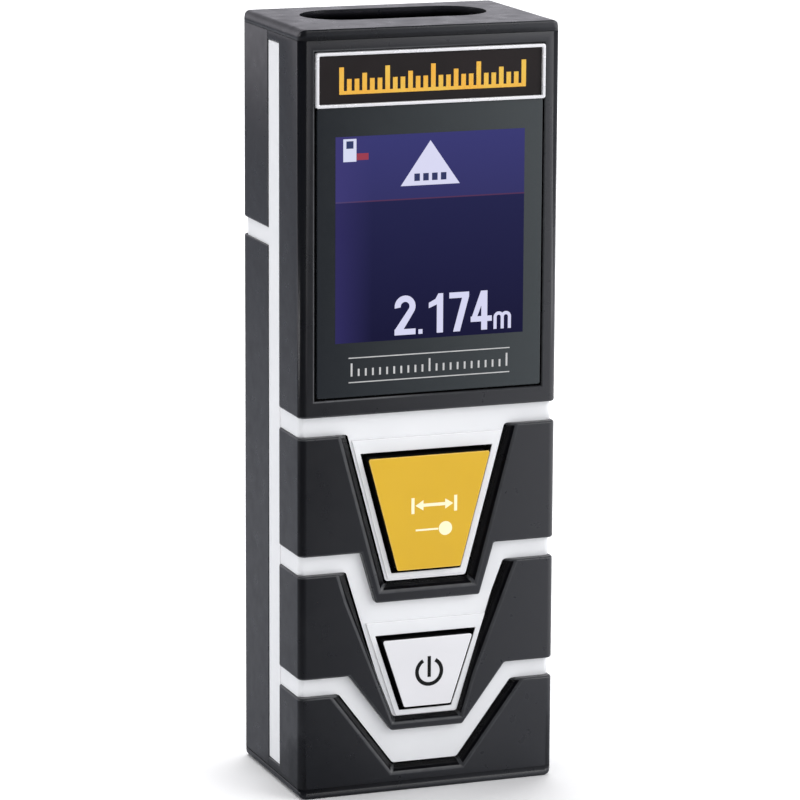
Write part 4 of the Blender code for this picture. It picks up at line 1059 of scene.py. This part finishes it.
def display():
    tray = block((-WINDOW_HALF - TRAY_MARGIN, at(TRAY_DEPTHS[0]), WINDOW_BOTTOM - TRAY_MARGIN),
                 (WINDOW_HALF + TRAY_MARGIN, at(TRAY_DEPTHS[1]), WINDOW_TOP + TRAY_MARGIN))
    place(tray, "window_tray", GROOVE_BLACK, "meter", "display_glass")
    half = WINDOW_HALF - GROOVE
    face = rectangle(-half, half, WINDOW_BOTTOM + GROOVE, BADGE_LOW.z - SINK)
    pane = prism(rounded(face, PANE_CORNER), "Y", at(0.0), at(PANE_DEPTH))
    soften(pane, PANE_EDGE, segments=2)
    place(pane, "display_pane", PANE, "meter", "display_glass", ["display_window"])
    surface = at(0.0)
    lit = surface - PRINT
    on_lit = lit - PRINT
    field = rectangle(-SCREEN_HALF, SCREEN_HALF, SCREEN_BOTTOM, HEADER_BOTTOM)
    header = rectangle(-SCREEN_HALF, SCREEN_HALF, HEADER_BOTTOM, SCREEN_TOP)
    marks = [
        ("screen_field", field, surface, SCREEN_FIELD),
        ("screen_header", header, surface, SCREEN_HEADER),
        ("screen_divider", bar(0, HEADER_BOTTOM, 2 * SCREEN_HALF, 0.16), lit, SCREEN_DIVIDER),
        ("mode_triangle", [(-4.05, 79.7), (3.95, 79.7), (-0.05, 85.4)], lit, SCREEN_LIT),
        *[(f"mode_dash_{number}", bar(across, 80.75, 0.75, 0.95), on_lit, SCREEN_DARK)
          for number, across in enumerate((-1.85, -0.65, 0.55, 1.75))],
        ("meter_icon", bar(-10.9, 84.6, 1.75, 2.9), lit, SCREEN_LIT),
        ("meter_icon_screen", bar(-10.9, 85.3, 0.95, 0.95), on_lit, SCREEN_DARK),
        ("beam_icon", bar(-9.2, 83.75, 1.6, 0.85), lit, SCREEN_RED),
    ]
    for mark in marks:
        flat_mark(*mark, "lcd")
    reading(lit)
    length = 22.0
    for name, height in (("rule_upper", 57.93), ("rule_lower", 54.77)):
        flat_mark(name, bar(0, height, length, 0.13), surface, PALE_PRINT)
    ticks = 22
    for number in range(ticks + 1):
        across = (length - 0.8) * (number / ticks - 0.5)
        tall = 1.7 if number % 11 == 0 else 0.95
        flat_mark(f"scale_tick_{number}", bar(across, 55.55 + tall / 2, 0.24, tall), surface,
                  PALE_PRINT)


def badge():
    """A silver ring around a dark plate with a ruler's scale on it."""
    half = WINDOW_HALF - BADGE_GAP
    bottom = BADGE_LOW.z
    top = WINDOW_TOP - TRAY_MARGIN
    strip = BADGE_STRIP
    ring = prism(rounded(rectangle(-half, half, bottom, top), PANE_CORNER), "Y", BADGE_LOW.y,
                 at(PANE_DEPTH))
    hole = rectangle(-half + strip, half - strip, bottom + strip, top - strip)
    cut(ring, prism(rounded(hole, PANE_CORNER / 2), "Y", FRONT - REACH, at(REACH)))
    soften(ring, BADGE_EDGE)
    place(ring, "badge_ring", SILVER, "meter", "bright_trim", ["badge_frame"])
    inner = half - strip + SINK
    surface = at(BADGE_SINK)
    plate = block((-inner, surface, bottom + strip - SINK),
                  (inner, at(PANE_DEPTH), top - strip + SINK))
    soften(plate, BADGE_FACE_EDGE, segments=1)
    place(plate, "badge_face", BADGE, "meter", "badge_black", ["badge_plate"])
    ticks = 24
    left, right, foot = -12.0, 12.6, 91.85
    tick_half = 0.31
    line_top = foot + 0.3
    flat_mark("badge_scale_base", rectangle(left - 0.3, right + 0.3, foot - 0.15, line_top), surface,
              BADGE_PRINT, "badge_black")
    for number in range(ticks + 1):
        across = left + (right - left) * number / ticks
        tall = 3.3 if number % 6 == 0 else (2.5 if number % 3 == 0 else 1.8)
        tick = rectangle(across - tick_half, across + tick_half, line_top, foot + tall)
        flat_mark(f"badge_tick_{number}", tick, surface, BADGE_PRINT, "badge_black")


# ---- optics at the top


def optics():
    liner = prism(stadium(LINER_SINK), "Z", OPTICS_LOW.z, CAP_SEAM + LINER_SINK)
    cut(liner, prism(stadium(-LINER_WALL), "Z", OPTICS_LOW.z - OVERRUN, TOP))
    place(liner, "slot_liner", GROOVE_BLACK, "meter", "chassis_black")
    pane = prism(stadium(-LINER_WALL), "Z", OPTICS_LOW.z, OPTICS_HIGH.z)
    soften(pane, OPTICS_EDGE)
    place(pane, "optics_pane", OPTICS_GLASS, "meter", "optics_glass", ["optics_window"])


# ---- CAD pieces that stay


def cad_materials():
    """Procedural finishes for the CAD pieces that are shown as they are."""
    steel = moulded("plated_steel", (0.55, 0.55, 0.54), (0.48, 0.48, 0.47), (0.22, 0.38),
                    grain=(0.3, 0.003), metallic=1.0)
    brass = moulded("brass", (0.72, 0.50, 0.20), (0.66, 0.44, 0.17), (0.22, 0.34),
                    grain=(0.3, 0.003), metallic=1.0)
    green = moulded("solder_mask", (0.010, 0.12, 0.045), (0.008, 0.10, 0.038), (0.25, 0.4),
                    grain=(0.5, 0.01), blotch=3.0)
    epoxy = moulded("epoxy", (0.018, 0.018, 0.019), (0.024, 0.024, 0.025), (0.45, 0.6))
    guide_white = moulded("light_guide", (0.70, 0.70, 0.72), (0.66, 0.66, 0.69), (0.4, 0.5))
    film = moulded("film_cable", (0.55, 0.22, 0.04), (0.50, 0.19, 0.035), (0.25, 0.35),
                   grain=(0.6, 0.01))
    lens = moulded("coated_lens", (0.10, 0.07, 0.13), (0.07, 0.06, 0.14), (0.03, 0.06),
                   grain=(3.0, 0.001), coat=0.8)
    panel = moulded("display_panel", (0.02, 0.018, 0.06), (0.018, 0.018, 0.05), (0.15, 0.25))
    finishes = {
        steel: ("battery_spring", "battery_bridge", "battery_contact", "measure_switch",
                "power_switch", "housing_screw"),
        brass: ("laser_module",),
        green: ("main_board", "receiver_board"),
        epoxy: ("controller_chip", "buzzer", "optics_chassis"),
        guide_white: ("lcd_backlight",),
        film: ("lcd_cable",),
        lens: ("collimator_lens", "receiver_lens"),
        panel: ("lcd_panel",),
        cell_wrap(): ("battery_cell",),
    }
    for material, beginnings in finishes.items():
        for name, node in frame["nodes"].items():
            if name.startswith(beginnings):
                for holder in node.material_slots:
                    holder.material = material


def cell_wrap():
    """A plain sleeve, blue-grey with a pale end."""
    material = moulded("cell_sleeve", (0.030, 0.060, 0.090), (0.036, 0.068, 0.100), (0.22, 0.32),
                       grain=(0.5, 0.002))
    tree, shader, coords, base = opened(material)
    end = bay_box()[1].z - PALE_END
    band = ranged(tree, axis_of(tree, coords, "Z"), (end - 0.2) * MM, end * MM)
    tree.links.new(mixed(tree, band, base, (0.46, 0.47, 0.49)), shader.inputs["Base Color"])
    return material


# ---- studio

CAMERA_PLACE = (-0.1954, -0.5257, 0.1679)
CAMERA_YAW = -20.41
CAMERA_PITCH = -11.92
CAMERA_ROLL = -0.27
CAMERA_LENS = 197.4

SKY_LOW = (1.0, 1.0, 1.01)
SKY_HIGH = (0.50, 0.50, 0.52)
SKY_MIRRORED = (0.92, 0.90, 0.98)
SKY_OVERHEAD = (0.04, 0.04, 0.045)
SKY_FLAG = (0.03, 0.03, 0.035)
FLAG_AZIMUTH = -45
# where a direction's height, or its pull toward the flag, changes one of these into the next
SKY_RISE = (0.2, 0.75)
OVERHEAD_EDGE = (0.26, 0.42)
FLAG_EDGE = (0.45, 0.80)
FLOOR_HALF = 4.0  # in metres
HIGH_LIGHT = 50  # reflections don't show a light at or above this elevation
FLOOR_MIRRORED = (0.31, 0.32, 0.35)
# what reflections see of the floor toward an azimuth: where a shade starts and ends, in metres
FLOOR_SHADES = (
    (-60, 0.02, 0.11, (0.03, 0.03, 0.035)),
    (105, 0.02, 0.12, (0.80, 0.80, 0.81)),
    (-160, 0.14, 0.44, (0.18, 0.19, 0.22)),
)
# name, azimuth, elevation, distance, width, height, power
LIGHTS = (
    ("back_softbox", 175, 58, 1.3, 1.4, 1.0, 17),
    ("back_left_softbox", -104, 4, 1.2, 0.2, 0.9, 3.2),
    ("back_right_softbox", 122, 4, 1.2, 0.25, 0.9, 1.6),
    ("front_right_softbox", 48, 30, 1.2, 0.9, 0.9, 8),
)


def camera():
    data = bpy.data.cameras.new("camera")
    data.sensor_width = 36.0
    data.lens = CAMERA_LENS
    data.clip_start = 0.01
    item = shown("camera", data)
    item.location = CAMERA_PLACE
    turn = (Matrix.Rotation(math.radians(CAMERA_YAW), 3, "Z")
            @ Matrix.Rotation(math.radians(CAMERA_PITCH), 3, "X")
            @ Matrix.Rotation(math.radians(CAMERA_ROLL), 3, "Y")
            @ Matrix.Rotation(math.radians(90), 3, "X"))
    item.rotation_euler = turn.to_euler()
    bpy.context.scene.camera = item


def softbox(name, azimuth, elevation, distance, width, height, power):
    """An area light facing the meter. Azimuth 0 is in front of it and 90 to its right."""
    data = bpy.data.lights.new(name, "AREA")
    data.shape = "RECTANGLE"
    data.size = width
    data.size_y = height
    data.energy = power
    item = shown(name, data)
    around = math.radians(azimuth)
    up = math.radians(elevation)
    direction = Vector((math.sin(around) * math.cos(up), -math.cos(around) * math.cos(up),
                        math.sin(up)))
    item.location = Vector((0, 0, TOP / 2 * MM)) + direction * distance
    item.rotation_euler = direction.to_track_quat("Z", "Y").to_euler()
    item.visible_glossy = elevation < HIGH_LIGHT


def studio():
    scene = bpy.context.scene
    scene.view_settings.view_transform = "Standard"
    world = bpy.data.worlds.new("studio")
    scene.world = world
    world.use_nodes = True
    tree = world.node_tree
    background = tree.nodes["Background"]
    coords = tree.nodes.new("ShaderNodeTexCoord")
    split = tree.nodes.new("ShaderNodeSeparateXYZ")
    tree.links.new(coords.outputs["Generated"], split.inputs["Vector"])
    rise = ranged(tree, split.outputs["Z"], *SKY_RISE)
    sky = mixed(tree, rise, SKY_LOW, SKY_HIGH)
    flag = ranged(tree, toward(tree, coords.outputs["Generated"], FLAG_AZIMUTH), *FLAG_EDGE)
    overhead = ranged(tree, split.outputs["Z"], *OVERHEAD_EDGE)
    mirrored_sky = mixed(tree, flag, mixed(tree, overhead, SKY_MIRRORED, SKY_OVERHEAD), SKY_FLAG)
    path = tree.nodes.new("ShaderNodeLightPath")
    tree.links.new(mixed(tree, path.outputs["Is Glossy Ray"], sky, mirrored_sky),
                   background.inputs["Color"])
    background.inputs["Strength"].default_value = 1.0
    bm = bmesh.new()
    bmesh.ops.create_grid(bm, x_segments=1, y_segments=1, size=FLOOR_HALF)
    floor = meshed(bm, "floor")
    floor.data.materials.append(floor_paper())
    for light in LIGHTS:
        softbox(*light)


def toward(tree, vector, azimuth):
    """How far a vector points toward an azimuth; 0 is the meter's front and 90 its right."""
    angle = math.radians(azimuth)
    node = tree.nodes.new("ShaderNodeVectorMath")
    node.operation = "DOT_PRODUCT"
    node.inputs[1].default_value = (math.sin(angle), -math.cos(angle), 0.0)
    tree.links.new(vector, node.inputs[0])
    return node.outputs["Value"]


def floor_paper():
    """Pale paper. Reflections see painted shades in its place: darker toward the left and back,
    lighter toward the right.
    """
    paper = moulded("floor_paper", (0.90, 0.90, 0.905), (0.885, 0.885, 0.89), (0.75, 0.85),
                    grain=(0.8, 0.01), blotch=60.0, specular=0.2)
    tree, shader, coords, pale = opened(paper)
    shade = FLOOR_MIRRORED
    for azimuth, near, far, dim in FLOOR_SHADES:
        reach = toward(tree, coords.outputs["Object"], azimuth)
        shade = mixed(tree, ranged(tree, reach, near, far), shade, dim)
    path = tree.nodes.new("ShaderNodeLightPath")
    tree.links.new(mixed(tree, path.outputs["Is Glossy Ray"], pale, shade),
                   shader.inputs["Base Color"])
    return paper


# ---- assembly

front_shell()
rear_shell()
display_bezel()
key_grips()
lower_grip()
rear_grips()
end_caps()
battery_door()
display()
badge()
keys()
optics()
cad_materials()
camera()
studio()
